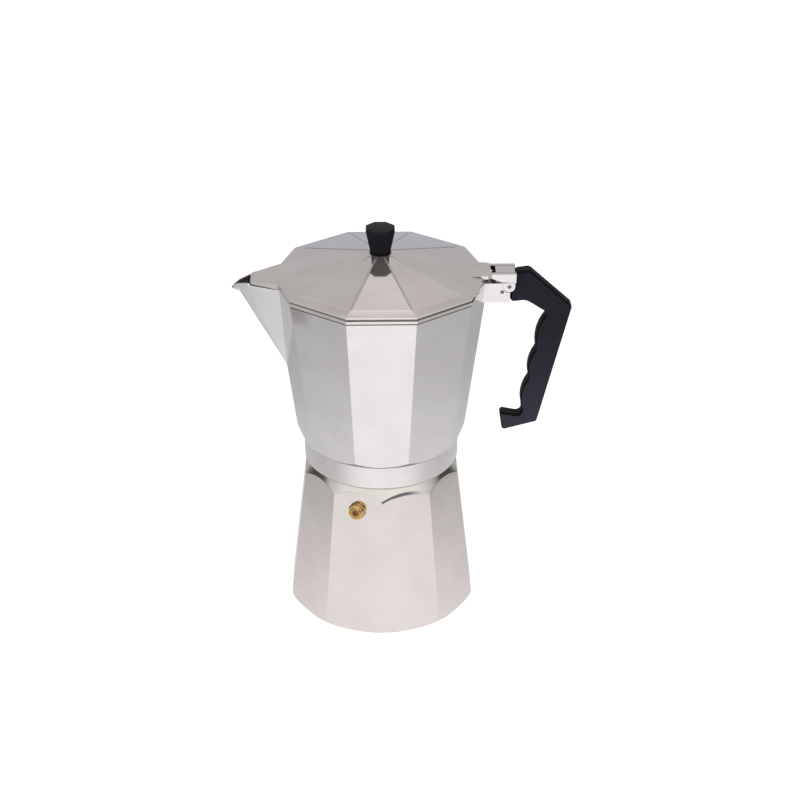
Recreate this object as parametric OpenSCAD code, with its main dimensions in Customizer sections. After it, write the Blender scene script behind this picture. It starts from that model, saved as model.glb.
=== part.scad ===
/* [Facets] */
// Number of flat sides round the boiler, the chamber and the lid
sides = 10; // [8:2:12]

/* [Boiler] */
// Corner radius of the boiler at its foot
foot_r = 68.6; // [64:0.1:74]
// Corner radius of the boiler at its shoulder
shoulder_r = 55.8; // [54:0.1:58]
// Height of the corners of the shoulder
shoulder_z = 103.2; // [99:0.1:105]
// Radius where the turned shoulder meets the neck
neck_foot_r = 49.2; // [47.5:0.1:51]
// Height where the turned shoulder meets the neck
neck_foot_z = 111.5; // [110:0.1:111.8]
// Radius of the neck
neck_r = 46.4; // [45.6:0.1:47]
// Height of the boiler's rim
boiler_h = 122.7; // [121:0.1:125]
// Rounding of the turned foot's edge
foot_edge = 4.5; // [3:0.5:8]
// Thickness of the boiler's sides
boiler_wall = 2.8; // [2.2:0.1:4]
// Thickness of the boiler's floor
boiler_floor = 3.2; // [2.5:0.1:5]
// Thickness of the boiler's shoulder
shoulder_wall = 5; // [4:0.1:6]
// Thickness of the neck
neck_wall = 3.9; // [3:0.1:4.5]

/* [Safety valve] */
// Depth of the valve below the corners of the shoulder
valve_drop = 9.1; // [7.5:0.1:25]
// Width of the valve's hexagon across its flats
valve_af = 12; // [11:0.5:14]
// Thickness of the valve's hexagon
valve_head = 3.6; // [3:0.1:6]
// Radius of the valve's threaded shank
valve_shank_r = 5; // [4.6:0.1:5.4]
// Length of the shank
valve_shank = 9.5; // [9:0.5:14]
// Thickness of the washer under the hexagon
valve_washer_t = 0.8; // [0.5:0.1:1.5]
// Radius of the spring chamber
valve_bore_r = 3.3; // [3.1:0.1:3.6]
// Radius of the plunger's stem
valve_stem_r = 1.2; // [1:0.1:1.4]
// Wire radius of the spring
spring_wire_r = 0.3; // [0.2:0.05:0.35]
// Number of turns of the spring
spring_turns = 4; // [3:1:6]

/* [Funnel] */
// Gap between the basket and the boiler's neck
basket_play = 1.5; // [0.5:0.1:2.5]
// Depth of the perforated floor below the boiler's rim
basket_depth = 24; // [17:0.5:28]
// Thickness of the pressed sheet
sheet = 0.9; // [0.7:0.1:1.2]
// Distance of the basket's rim inside the neck's outer edge
rim_inset = 1; // [0.5:0.1:2]
// Outer radius of the stem
stem_r = 6.8; // [6:0.1:8]
// Height of the stem's foot above the ground
stem_z = 10; // [8:0.5:20]
// Height of the collar that takes the stem
collar_h = 6; // [4:0.5:10]
// Radius of the holes in the funnel's floor
plate_hole_r = 1.1; // [0.8:0.1:1.3]
// Distance between the holes in the funnel's floor
plate_pitch = 6.2; // [5:0.1:8]

/* [Seal] */
// Thickness of the gasket
gasket_t = 3.8; // [3:0.1:4.5]
// Gap between the gasket and the collector's bore
gasket_play = 1; // [0.5:0.1:1.5]
// Width of the gasket outside the filter plate
gasket_edge = 6.6; // [5:0.1:8]
// Width of the filter plate's edge that the gasket holds
filter_seat = 4; // [3:0.5:6]
// Thickness of the filter plate
filter_t = 1; // [0.8:0.1:1.4]
// Rise of the filter plate's middle
filter_rise = 0.8; // [0.5:0.1:1.2]
// Radius of the holes in the filter plate
filter_hole_r = 0.9; // [0.7:0.1:1]
// Distance between the holes in the filter plate
filter_pitch = 5; // [4:0.1:7]

/* [Collector] */
// Radius of the turned ring
ring_r = 53.7; // [53:0.1:54.4]
// Gap between the foot of the neck and the ring's lower edge
ring_gap = 0.7; // [0.4:0.1:2.5]
// Height of the ring
ring_h = 12; // [10:0.1:14]
// Reach of the chamber's corners beyond the ring where the flat sides start
kink_out = 4.6; // [3.6:0.1:5.2]
// Height above the ring of the corners where the flat sides start
kink_h = 8.5; // [7:0.1:11]
// Corner radius of the chamber's rim
rim_r = 72.4; // [70:0.1:75]
// Height of the chamber from the ring's upper edge to its rim
chamber_h = 119.7; // [106:0.1:132]
// Thickness of the chamber's sides
chamber_wall = 3; // [2.4:0.1:4]
// Room for the thread between the neck and the collector's bore
thread_room = 2.2; // [2:0.1:2.6]
// Thickness of the chamber's floor
chamber_floor = 3.5; // [3:0.1:5]
// Depth of the column's top below the rim
column_drop = 36.2; // [24:0.1:60]
// Outer radius of the column's foot
column_r = 8.5; // [8:0.1:10]
// Outer radius of the column's top
column_top_r = 6.8; // [6.4:0.1:7.5]
// Radius of the passage in the column
column_bore_r = 4.8; // [4.4:0.1:5]
// Radius of the domed underside that leads into the column
dome_r = 38; // [34:0.5:40]
// Rise of the dome
dome_h = 14; // [10:0.5:18]
// Width of the column's outlets
outlet_w = 5; // [4:0.1:6]
// Height of the column's outlets
outlet_h = 9; // [6:0.5:12]

/* [Spout] */
// Reach of the spout's tip beyond the corners of the rim
spout_reach = 27.2; // [22:0.1:33]
// Height of the spout's tip below the rim
spout_tip_drop = 5; // [3:0.1:7]
// Length of the beak beyond the spout's body
spout_beak = 5.8; // [4:0.1:7]
// Half the width of the spout where the beak starts
spout_beak_half_w = 4.6; // [4:0.1:5.5]
// Half the width of the spout at the end of the lid's flap
spout_cheek_half_w = 8.2; // [7.6:0.1:9]
// Half the width of the spout inside the chamber's side
spout_half_w = 17.3; // [15:0.1:20]
// Height of the spout from its foot to the rim
spout_h = 63.2; // [45:0.1:78]
// Thickness of the spout's sides
spout_wall = 1.6; // [1.4:0.1:3.2]

/* [Hinge] */
// Width of the lug
lug_w = 16; // [15:0.5:17]
// Width across the lid's arms
arm_w = 18; // [17:0.1:20]
// Height of the lug
lug_h = 14; // [12:0.5:18]
// Distance of the hinge pin beyond the corner of the rim
hinge_out = 13.4; // [13:0.1:14]
// Distance of the lug's end beyond the hinge pin
lug_end = 0.6; // [0.2:0.1:0.8]
// Depth of the hinge pin below the rim
hinge_drop = 2.5; // [2:0.1:2.8]
// Horizontal distance from the hinge pin to the handle pin
pin_dx = 4.7; // [4.6:0.1:5.4]
// Vertical distance from the hinge pin to the handle pin
pin_dz = 3.7; // [3.7:0.1:4.4]
// Radius of both pins
pin_r = 1.3; // [1.1:0.05:1.4]
// Length of the web inside the hinge pin
web_in = 9; // [8:0.1:10]
// Length of the web beyond the hinge pin
web_out = 3.8; // [3.4:0.1:4]
// Radius of the lid's ears round the hinge pin
ear_r = 3.9; // [3.6:0.1:3.9]
// Gap between the web's inner end and the lid
slot_gap = 3.3; // [3:0.1:4]
// Half the width of the lid's tongue at the crease
tongue_root_half_w = 12; // [11:0.1:14]

/* [Lid] */
// Reach of the lid's corners beyond those of the rim
lid_lip = 0.8; // [-0.5:0.1:1]
// Shadow gap between the chamber's rim and the lid's edge
lid_gap = 0.9; // [0.7:0.1:2]
// Height of the lid's upright edge
lid_skirt = 1.4; // [1:0.1:2]
// Distance of the crease inside the lid's corners
crease_in = 8.9; // [7:0.1:12]
// Height of the crease above the lid's lower edge
crease_h = 5.8; // [5.2:0.1:8]
// Step by which the lid's panels stand above its edge
crease_step = 0.3; // [0.1:0.1:0.5]
// Height of the lid's middle above its lower edge
lid_rise = 18.6; // [13:0.1:24]
// Corner radius of the flat middle of the lid
lid_top_r = 7.4; // [7:0.1:12]
// Thickness of the lid
lid_t = 1.5; // [1.2:0.1:2]
// Radius of the beads along the lid's corners
bead_r = 0.6; // [0.5:0.1:1]
// Length of the spout that the flap leaves open
flap_gap = 13.1; // [10:0.1:17]
// Half the width of the flap's end
flap_half_w = 7.8; // [6:0.1:9]

/* [Knob] */
// Number of sides of the knob
knob_sides = 8; // [6:2:12]
// Half the width of the knob across its widest flats
knob_w = 9.6; // [8:0.1:11]
// Half the width of the knob's foot
knob_foot_w = 6.6; // [5.5:0.1:7.5]
// Height of the knob
knob_h = 17.2; // [14:0.1:22]
// Height of the knob's upright band
knob_band = 1.7; // [1:0.1:5]
// Thickness of the shield under the knob
shield_t = 0.8; // [0.6:0.1:1.5]
// Radius of the shield under the knob
shield_r = 7.2; // [6.5:0.1:8]
// Radius of the knob's screw
screw_r = 2; // [1.5:0.1:2.4]
// Radius of the threaded insert
insert_r = 3.4; // [3.2:0.1:3.8]
// Length of the threaded insert
insert_h = 9; // [7:0.5:11]

/* [Handle] */
// Thickness of the handle and of the web between the lid's arms
handle_t = 10.6; // [9:0.1:11]
// Rounding of the handle's edges
handle_edge = 1.6; // [1:0.1:2]
// Reach of the handle's outer corner beyond the hinge pin
handle_out = 43.2; // [39:0.1:48]
// Depth of the handle's outer corner below the rim
handle_drop = 18.7; // [15:0.1:25]
// Distance by which the handle's heel lies behind its outer corner
handle_lean = 20.7; // [14:0.1:26]
// Distance of the bend above the fingers beyond the hinge pin
bend_out = 27; // [23:0.1:29]
// Depth of the bend above the fingers below the rim
bend_drop = 23.9; // [20:0.1:29]
// Height of one finger's place
finger_pitch = 22.4; // [20:0.1:24]
// Slope of the row of fingers
finger_lean = 0.185; // [0.1:0.005:0.25]
// Depth of the bumps between the notches
bump = 2.1; // [1:0.1:3]
// Depth of the hook's upper edge below the last notch
hook_drop = 8; // [6:0.1:11]
// Height of the hook
hook_h = 10.7; // [8:0.1:13]
// Length of the hook
hook_w = 15.9; // [12:0.1:18]
// Half the thickness of the tongue that enters the lug
tongue_half_t = 3; // [2.5:0.1:3.3]

/* [Fits] */
// Gap between pieces that rest on each other
seat_gap = 0.15; // [0.1:0.05:0.3]
// Gap between pieces that pass each other
clear = 0.3; // [0.3:0.05:0.5]
// Radial clearance of a running pin
run_fit = 0.05; // [0.02:0.01:0.1]
// Radial gap of a pressed or screwed piece
press_fit = 0.01; // [0.01:0.01:0.02]

/* [Hidden] */
$fn = 96;
eps = 0.01;
far = 200;

// Share of a corner radius that reaches the middle of a flat side
flat = cos(180 / sides);
boiler_turn = 180 / sides;
boiler_taper = (foot_r - shoulder_r) / shoulder_z;
shoulder_slope = (neck_foot_z - shoulder_z) / (shoulder_r - neck_foot_r);
shoulder_drop = shoulder_wall * sqrt(1 + shoulder_slope * shoulder_slope);
neck_bore_r = neck_r - neck_wall;
valve_z = shoulder_z - valve_drop;

// The valve sits on the flat side next to the front corner and leans back with it
valve_side = -90 - boiler_turn;
valve_tilt = atan(boiler_taper * flat);
valve_shoulder = 1.4;
valve_hole_r = valve_stem_r + clear;
valve_seat_t = 1.6;
valve_collar_r = valve_bore_r - clear;
valve_collar_t = 1.4;
valve_plunger_z = -valve_shank + valve_seat_t + seat_gap;
spring_z = valve_plunger_z + valve_collar_t + spring_wire_r + seat_gap;
spring_end_z = valve_washer_t + valve_head - valve_shoulder - spring_wire_r - seat_gap;
spring_r = (valve_stem_r + valve_bore_r) / 2;

// The funnel hangs by its rim on the boiler's neck
rim_bottom_z = boiler_h + seat_gap;
rim_top_z = rim_bottom_z + sheet;
basket_r = neck_bore_r - basket_play;
basket_rim_r = neck_r - rim_inset;
basket_floor_z = boiler_h - basket_depth;
basket_in_r = basket_r - sheet;
stem_bore_r = stem_r - sheet;
collar_r = stem_r + press_fit + sheet;
cone_h = basket_r - collar_r;
cone_foot_z = basket_floor_z - cone_h * 0.45;
collar_z = cone_foot_z - collar_h;

// The seal lies between the funnel's rim and the collector's seat
thread_bore_r = neck_r + thread_room;
gasket_r = thread_bore_r - gasket_play;
filter_r = gasket_r - gasket_edge;
gasket_bore_r = filter_r - filter_seat;
gasket_z = rim_top_z + seat_gap;
gasket_top_z = gasket_z + gasket_t;
filter_z = gasket_top_z - filter_t;
seat_z = gasket_top_z + seat_gap;
floor_z = seat_z + chamber_floor;

// The collector's stations
ring_z = neck_foot_z + ring_gap;
ring_top_z = ring_z + ring_h;
kink_r = ring_r + kink_out;
kink_z = ring_top_z + kink_h;
rim_z = ring_top_z + chamber_h;
column_z = rim_z - column_drop;
spout_tip_x = rim_r + spout_reach;
spout_foot_z = rim_z - spout_h;
flare = kink_out / kink_h;
chamber_taper = (rim_r - kink_r) / (rim_z - kink_z);
column_foot_z = seat_z + dome_h;

// The hinge pin and the handle pin, in the plane of the handle
hinge_x = rim_r + hinge_out;
hinge_z = rim_z - hinge_drop;
lug_x = hinge_x + lug_end;
web_in_x = hinge_x - web_in;
web_out_x = hinge_x + web_out;
pin2_x = hinge_x - pin_dx;
pin2_z = hinge_z - pin_dz;
lug_foot_z = rim_z - lug_h;
web_half_w = handle_t / 2;
arm_in = web_half_w + clear;
recess_r = ear_r + 0.4;
tongue_r = pin_r + 1.5;
slot_r = tongue_r + clear;
slot_top_z = pin2_z + 1.5;
handle_root_x = lug_x + 6;
handle_x = hinge_x + handle_out;
handle_corner_z = rim_z - handle_drop;
bend_x = hinge_x + bend_out;
bend_z = rim_z - bend_drop;

// The lid's stations
lid_r = rim_r + lid_lip;
crease_r = lid_r - crease_in;
flap_x = spout_tip_x - flap_gap;
cheek_x = flap_x + clear + 0.6;
lid_z = rim_z + lid_gap;
crease_z = lid_z + crease_h;
lid_top_z = lid_z + lid_rise;
arm_top_z = crease_z + 0.3;
arm_end_x = web_out_x + 0.6;
lip_z = lid_z + lid_skirt;
panel_r = crease_r - crease_step;
bead_angle = atan((lid_top_z - crease_z) / (panel_r - lid_top_r));

// The knob's stack, from the lid upwards
shield_z = lid_top_z + seat_gap;
knob_z = shield_z + shield_t + seat_gap;
screw_washer_r = screw_r + 2.6;
screw_washer_t = 0.8;
screw_head_r = 3.8;
screw_head_t = 2.2;
washer_z = lid_top_z - lid_t - seat_gap - screw_washer_t;

function boiler_corner(z) = foot_r - boiler_taper * z;
function chamber_corner(z) = kink_r + chamber_taper * (z - kink_z);
function shoulder_at(r) = shoulder_z + (shoulder_r - r) * shoulder_slope;

// Points of an arc from a to b that bulges by s to the left of the way
function bulge(a, b, s, n) =
    let (d = b - a, l = norm(d), m = (a + b) / 2, side = [-d[1], d[0]] / l,
        r = (l * l / 4 + s * s) / (2 * s), c = m + side * (s - r),
        start = atan2(a[1] - c[1], a[0] - c[0]), turn = 2 * asin(l / (2 * abs(r))) * (s < 0 ? 1 : -1))
    [for (i = [0:n]) c + abs(r) * [cos(start + turn * i / n), sin(start + turn * i / n)]];

// Points of a rounded corner at p between the neighbours a and b
function corner(a, p, b, r, n) =
    let (u = (a - p) / norm(a - p), v = (b - p) / norm(b - p), half = acos(u * v) / 2,
        t = r / tan(half), c = p + (u + v) / norm(u + v) * r / sin(half),
        p0 = p + u * t, start = atan2(p0[1] - c[1], p0[0] - c[0]),
        turn = (180 - 2 * half) * (u[0] * v[1] - u[1] * v[0] > 0 ? -1 : 1))
    [for (i = [0:n]) c + r * [cos(start + turn * i / n), sin(start + turn * i / n)]];

// The same outline moved inwards by d, for an outline that runs anticlockwise
function inset(points, d) =
    let (n = len(points))
    [for (i = [0:n - 1])
        let (a = points[(i + n - 1) % n], p = points[i], b = points[(i + 1) % n],
            u = (p - a) / norm(p - a), v = (b - p) / norm(b - p),
            nu = [-u[1], u[0]], nv = [-v[1], v[0]], m = nu + nv)
        p + m * (2 * d / (m * m))];

// Twice the area of a triangle, positive where its corners run anticlockwise
function doubled_area(a, b, c) = (b[0] - a[0]) * (c[1] - a[1]) - (b[1] - a[1]) * (c[0] - a[0]);

// Whether corner i of the outline can be cut off as a triangle
function is_ear(points, order, i) =
    let (n = len(order), a = points[order[(i + n - 1) % n]], b = points[order[i]],
        c = points[order[(i + 1) % n]])
    doubled_area(a, b, c) > 0 && len([for (k = order) let (q = points[k])
        if (q != a && q != b && q != c && doubled_area(a, b, q) >= 0 && doubled_area(b, c, q) >= 0
            && doubled_area(c, a, q) >= 0) k]) == 0;

function next_ear(points, order, i) =
    i == len(order) - 1 || is_ear(points, order, i) ? i : next_ear(points, order, i + 1);

// Triangles that fill a flat outline with hollows, as numbers of its points
function fill(points, order) =
    let (n = len(order), i = n > 3 ? next_ear(points, order, 0) : 1)
    concat([[order[(i + n - 1) % n], order[i], order[(i + 1) % n]]],
        n > 3 ? fill(points, [for (k = [0:n - 1]) if (k != i) order[k]]) : []);

// Rings of n points joined into a closed solid; the faces of its ends are given for a ring with hollows
module skin(rings, ends = []) {
    n = len(rings[0]);
    last = len(rings) - 1;
    points = [for (ring = rings) each ring];
    walls = [for (j = [0:last - 1]) for (k = [0:n - 1])
        [j * n + k, (j + 1) * n + k, (j + 1) * n + (k + 1) % n, j * n + (k + 1) % n]];
    foot = len(ends) > 0 ? ends : [[for (k = [0:n - 1]) k]];
    head = [for (face = foot) [for (k = [len(face) - 1:-1:0]) last * n + face[k]]];
    polyhedron(points, concat(foot, walls, head));
}

// A solid through regular polygons, whose stations are pairs of height and corner radius
module facet_loft(n, turn, stations) {
    skin([for (s = stations) [for (k = [0:n - 1])
        [s[1] * cos(turn + k * 360 / n), s[1] * sin(turn + k * 360 / n), s[0]]]]);
}

// An outline in the plane of the handle, given a width across it
module upright(width) {
    rotate([90, 0, 0]) linear_extrude(height = width, center = true) children();
}

module on_valve_axis() {
    z = valve_z;
    r = boiler_corner(z) * flat;
    rotate([0, 0, valve_side]) translate([r, 0, z]) rotate([0, 90 - valve_tilt, 0]) children();
}

module pin_hole(x, z, r) {
    translate([x, 0, z]) rotate([90, 0, 0]) cylinder(r = r, h = far, center = true);
}

// Holes on rings round the middle, a pitch apart
module holes(r, pitch, reach, h) {
    cylinder(r = r, h = h, $fn = 24);
    for (ring = [1:floor(reach / pitch)])
        for (k = [0:6 * ring - 1])
            rotate([0, 0, k * 60 / ring]) translate([ring * pitch, 0, 0]) cylinder(r = r, h = h, $fn = 24);
}

// Flat sides from a floor to the rim, moved inwards by inset_r; the floor's edge is broken by edge
module boiler_form(inset_r, edge, floor_z) {
    facet_loft(sides, boiler_turn, [[floor_z, boiler_corner(floor_z) - inset_r - edge],
        [floor_z + edge, boiler_corner(floor_z + edge) - inset_r],
        [boiler_h, boiler_corner(boiler_h) - inset_r]]);
}

// The turned cuts at the boiler's foot and shoulder, which end the flat sides in arches
module turned_form(edge, drop, neck, top) {
    foot_turn_r = boiler_corner(edge);
    outer_r = foot_r + 5;
    foot = [for (a = [0:10:90]) [foot_turn_r - edge * (1 - sin(a)), edge * (1 - cos(a))]];
    rotate_extrude() polygon(concat([[0, 0]], foot, [[outer_r, 2 * edge + 5],
        [outer_r, shoulder_at(outer_r) - drop], [neck, shoulder_at(neck) - drop], [neck, top], [0, top]]));
}

module boiler() {
    color("gainsboro") difference() {
        union() {
            difference() {
                union() {
                    intersection() {
                        boiler_form(0, eps, 0);
                        turned_form(foot_edge, 0, neck_foot_r, neck_foot_z);
                    }
                    translate([0, 0, shoulder_z]) cylinder(r = neck_r, h = boiler_h - shoulder_z);
                }
                intersection() {
                    boiler_form(boiler_wall / flat, 3, boiler_floor);
                    turned_form(eps, shoulder_drop, neck_bore_r, boiler_h);
                }
                translate([0, 0, neck_foot_z]) cylinder(r = neck_bore_r, h = far);
            }
            on_valve_axis() translate([0, 0, -valve_shank + 1.5])
                cylinder(r = valve_shank_r + 3.2, h = valve_shank - 2.5);
        }
        on_valve_axis() cylinder(r = valve_shank_r + press_fit, h = 4 * valve_shank, center = true);
    }
}

module valve_body() {
    head_z = valve_washer_t + valve_head;
    hex_r = valve_af / 2 / cos(30);
    color("goldenrod") on_valve_axis() difference() {
        union() {
            translate([0, 0, -valve_shank]) cylinder(r = valve_shank_r, h = valve_shank + head_z);
            intersection() {
                translate([0, 0, valve_washer_t]) cylinder(r = hex_r, h = valve_head, $fn = 6);
                translate([0, 0, head_z - 2 * valve_head])
                    cylinder(r1 = hex_r + valve_head, r2 = valve_af / 2 - 0.2, h = 2 * valve_head);
            }
            translate([0, 0, head_z - eps]) cylinder(r1 = valve_af / 3, r2 = valve_af / 3 - 0.6, h = 0.8);
        }
        translate([0, 0, -valve_shank - 1])
            cylinder(r = valve_bore_r, h = valve_shank + 1 + head_z - valve_shoulder);
        cylinder(r = valve_hole_r, h = far);
    }
}

module valve_washer() {
    color("peru") on_valve_axis() translate([0, 0, press_fit]) difference() {
        cylinder(r = valve_af / 2 - 0.1, h = valve_washer_t - 2 * press_fit);
        translate([0, 0, -1]) cylinder(r = valve_shank_r + clear, h = valve_washer_t + 2);
    }
}

module valve_seat() {
    color("darkgoldenrod") on_valve_axis() translate([0, 0, -valve_shank]) difference() {
        cylinder(r = valve_bore_r - press_fit, h = valve_seat_t);
        translate([0, 0, -1]) cylinder(r = valve_stem_r + 0.2, h = valve_seat_t + 2);
    }
}

module valve_plunger() {
    tip_z = valve_washer_t + valve_head + 0.4;
    color("silver") on_valve_axis() rotate_extrude() polygon([[0, valve_plunger_z - 0.7],
        [valve_stem_r - 0.3, valve_plunger_z - 0.7], [valve_stem_r, valve_plunger_z],
        [valve_collar_r, valve_plunger_z], [valve_collar_r, valve_plunger_z + valve_collar_t],
        [valve_stem_r, valve_plunger_z + valve_collar_t], [valve_stem_r, tip_z - 0.3],
        [valve_stem_r - 0.3, tip_z], [0, tip_z]]);
}

module valve_spring() {
    steps = 14 * spring_turns;
    lead = (spring_end_z - spring_z) / steps;
    color("gray") on_valve_axis() skin([for (i = [steps:-1:0])
        let (turn = i * 360 * spring_turns / steps)
        [for (k = [0:5])
            let (r = spring_r + spring_wire_r * cos(k * 60))
            [r * cos(turn), r * sin(turn), spring_z + i * lead + spring_wire_r * sin(k * 60)]]]);
}

module funnel_basket() {
    color("lightgray") rotate_extrude() polygon([[basket_in_r, basket_floor_z], [basket_in_r, rim_top_z],
        [basket_rim_r, rim_top_z], [basket_rim_r, rim_bottom_z], [basket_r, rim_bottom_z],
        [basket_r, basket_floor_z - sheet], [collar_r, cone_foot_z - sheet], [collar_r, collar_z],
        [collar_r - sheet, collar_z], [collar_r - sheet, cone_foot_z],
        [basket_in_r - 2, basket_floor_z - 0.3], [basket_in_r - 2, basket_floor_z]]);
}

module funnel_stem() {
    color("lightgray") rotate_extrude() polygon([[stem_bore_r, stem_z + 0.4], [stem_r - 0.4, stem_z],
        [stem_r, stem_z + 0.4], [stem_r, cone_foot_z - sheet], [stem_bore_r, cone_foot_z - sheet]]);
}

module funnel_plate() {
    color("silver") translate([0, 0, basket_floor_z + press_fit]) difference() {
        cylinder(r = basket_in_r - press_fit, h = sheet);
        translate([0, 0, -1]) holes(plate_hole_r, plate_pitch, basket_in_r - 4, sheet + 2);
    }
}

module gasket() {
    color("whitesmoke") rotate_extrude() polygon([[gasket_bore_r, gasket_z], [gasket_r - 0.5, gasket_z],
        [gasket_r, gasket_z + 0.5], [gasket_r, gasket_top_z - 0.5], [gasket_r - 0.5, gasket_top_z],
        [filter_r + press_fit, gasket_top_z], [filter_r + press_fit, filter_z - press_fit],
        [gasket_bore_r, filter_z - press_fit]]);
}

module filter_plate() {
    color("silver") difference() {
        rotate_extrude() polygon([[0, filter_z + filter_rise], [gasket_bore_r - 3, filter_z + filter_rise],
            [gasket_bore_r - 1, filter_z], [filter_r, filter_z], [filter_r, filter_z + filter_t],
            [gasket_bore_r - 1, filter_z + filter_t], [gasket_bore_r - 3, filter_z + filter_rise + filter_t],
            [0, filter_z + filter_rise + filter_t]]);
        translate([0, 0, filter_z - 1])
            holes(filter_hole_r, filter_pitch, gasket_bore_r - 5, filter_rise + filter_t + 2);
    }
}

// A rib across the spout at x, its top raised above the rim
module spout_rib(x, half_w, rise) {
    h = 2 + 1.2 * rise;
    translate([-x, 0, rim_z + rise - h / 2]) cube([1, 2 * half_w, h], center = true);
}

// The spout's body, its sides moved inwards by t and its top raised by rise
module spout_form(t, rise) {
    keel_x = chamber_corner(spout_foot_z);
    hull() {
        translate([-keel_x + 1 + 1.7 * t, 0, spout_foot_z + 3 * t]) sphere(r = 1, $fn = 16);
        beak_root(t, rise);
        spout_rib(cheek_x, spout_cheek_half_w - 1.1 * t, rise);
        spout_rib(rim_r * flat - 5, spout_half_w - 1.1 * t, rise);
        translate([-keel_x + 14, 0, spout_foot_z + 12 + 3 * t]) sphere(r = 1, $fn = 16);
    }
}

// The beak that carries the stream clear of the spout
module beak_form(t, rise) {
    beak_z = rim_z - spout_tip_drop;
    hull() {
        translate([-spout_tip_x + 1.2 + 0.6 * t, 0, beak_z + 0.3 + rise]) sphere(r = 1.2 - 0.2 * t, $fn = 16);
        translate([-spout_tip_x + 1.6 + 0.6 * t, 0, beak_z + 0.6 * t]) sphere(r = 0.8, $fn = 16);
        beak_root(t, rise);
        spout_rib(cheek_x, spout_cheek_half_w - 1.1 * t, rise + 0.9);
    }
}

// Where the beak leaves the spout's body
module beak_root(t, rise) {
    beak_x = spout_tip_x - spout_beak;
    spout_rib(beak_x - t, spout_beak_half_w - 0.8 * t, rise - 0.8);
    translate([-beak_x + 1.4 * t + 0.8, 0, rim_z - spout_tip_drop - 1.6 + 1.2 * t]) sphere(r = 1.4, $fn = 16);
}

module chamber_form() {
    intersection() {
        facet_loft(sides, 0, [[ring_top_z, chamber_corner(ring_top_z)], [rim_z, rim_r]]);
        translate([0, 0, ring_top_z])
            rotate_extrude() polygon([[0, 0], [ring_r, 0], [ring_r + flare * far, far], [0, far]]);
    }
}

module ring_form() {
    rotate_extrude() polygon([[0, ring_z], [ring_r - 0.6, ring_z], [ring_r, ring_z + 0.6],
        [ring_r, ring_top_z + eps], [0, ring_top_z + eps]]);
}

// Room under the floor for the neck, the seal and the rising coffee
module underside() {
    rotate_extrude() polygon([[0, ring_z - 1], [thread_bore_r + 2.2, ring_z - 1],
        [thread_bore_r, ring_z + 1.2], [thread_bore_r, seat_z], [dome_r, seat_z],
        [column_bore_r + 0.4, column_foot_z], [column_bore_r, column_foot_z + 4],
        [column_bore_r - 0.4, column_z - 4], [0, column_z - 4]]);
}

module column() {
    rotate_extrude() polygon([[0, seat_z + 1], [dome_r + 2, seat_z + 1], [dome_r + 4, floor_z],
        [column_r + 1.5, column_foot_z + 3.6], [column_r, column_foot_z + 6],
        [column_top_r, column_z - 1.2], [column_top_r - 1.2, column_z], [0, column_z]]);
}

module lug() {
    root_x = chamber_corner(rim_z) * flat - 2;
    upright(lug_w) polygon([[root_x, rim_z], [lug_x, rim_z], [lug_x, lug_foot_z + 0.5],
        [lug_x - 0.5, lug_foot_z], [root_x, lug_foot_z]]);
    upright(2 * web_half_w) polygon([[web_in_x, rim_z - 2], [web_in_x, arm_top_z], [web_out_x, arm_top_z],
        [web_out_x, slot_top_z], [web_in_x, slot_top_z]]);
}

// Cuts for the handle's tongue, for the lid's ears and for both pins
module lug_cuts() {
    slot_in_x = pin2_x - slot_r;
    out_x = hinge_x + lug_w;
    out_z = hinge_z + lug_h;
    upright(2 * (tongue_half_t + clear)) {
        polygon([[slot_in_x, lug_foot_z - 5], [out_x, lug_foot_z - 5], [out_x, slot_top_z],
            [slot_in_x, slot_top_z]]);
        translate([pin2_x, pin2_z]) circle(r = slot_r);
    }
    for (s = [-1, 1]) translate([0, s * (web_half_w + lug_w / 2), 0]) upright(lug_w) {
        translate([hinge_x, hinge_z]) circle(r = recess_r);
        polygon([[hinge_x - recess_r, hinge_z], [out_x, hinge_z], [out_x, out_z],
            [hinge_x - recess_r, out_z]]);
    }
    pin_hole(hinge_x, hinge_z, pin_r + press_fit);
    pin_hole(pin2_x, pin2_z, pin_r + press_fit);
}

module collector() {
    inner = chamber_wall / flat;
    color("gainsboro") difference() {
        union() {
            difference() {
                union() {
                    ring_form();
                    chamber_form();
                    spout_form(0, 0);
                    beak_form(0, 0);
                    lug();
                }
                facet_loft(sides, 0, [[floor_z, chamber_corner(floor_z) - inner],
                    [rim_z + 1, chamber_corner(rim_z + 1) - inner]]);
                spout_form(spout_wall, 5);
                beak_form(spout_wall, 5);
            }
            column();
        }
        underside();
        for (s = [0, 1]) rotate([0, 0, 180 * s])
            translate([column_bore_r - 2, -outlet_w / 2, column_z - 6 - outlet_h])
            cube([8, outlet_w, outlet_h]);
        lug_cuts();
    }
}

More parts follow.
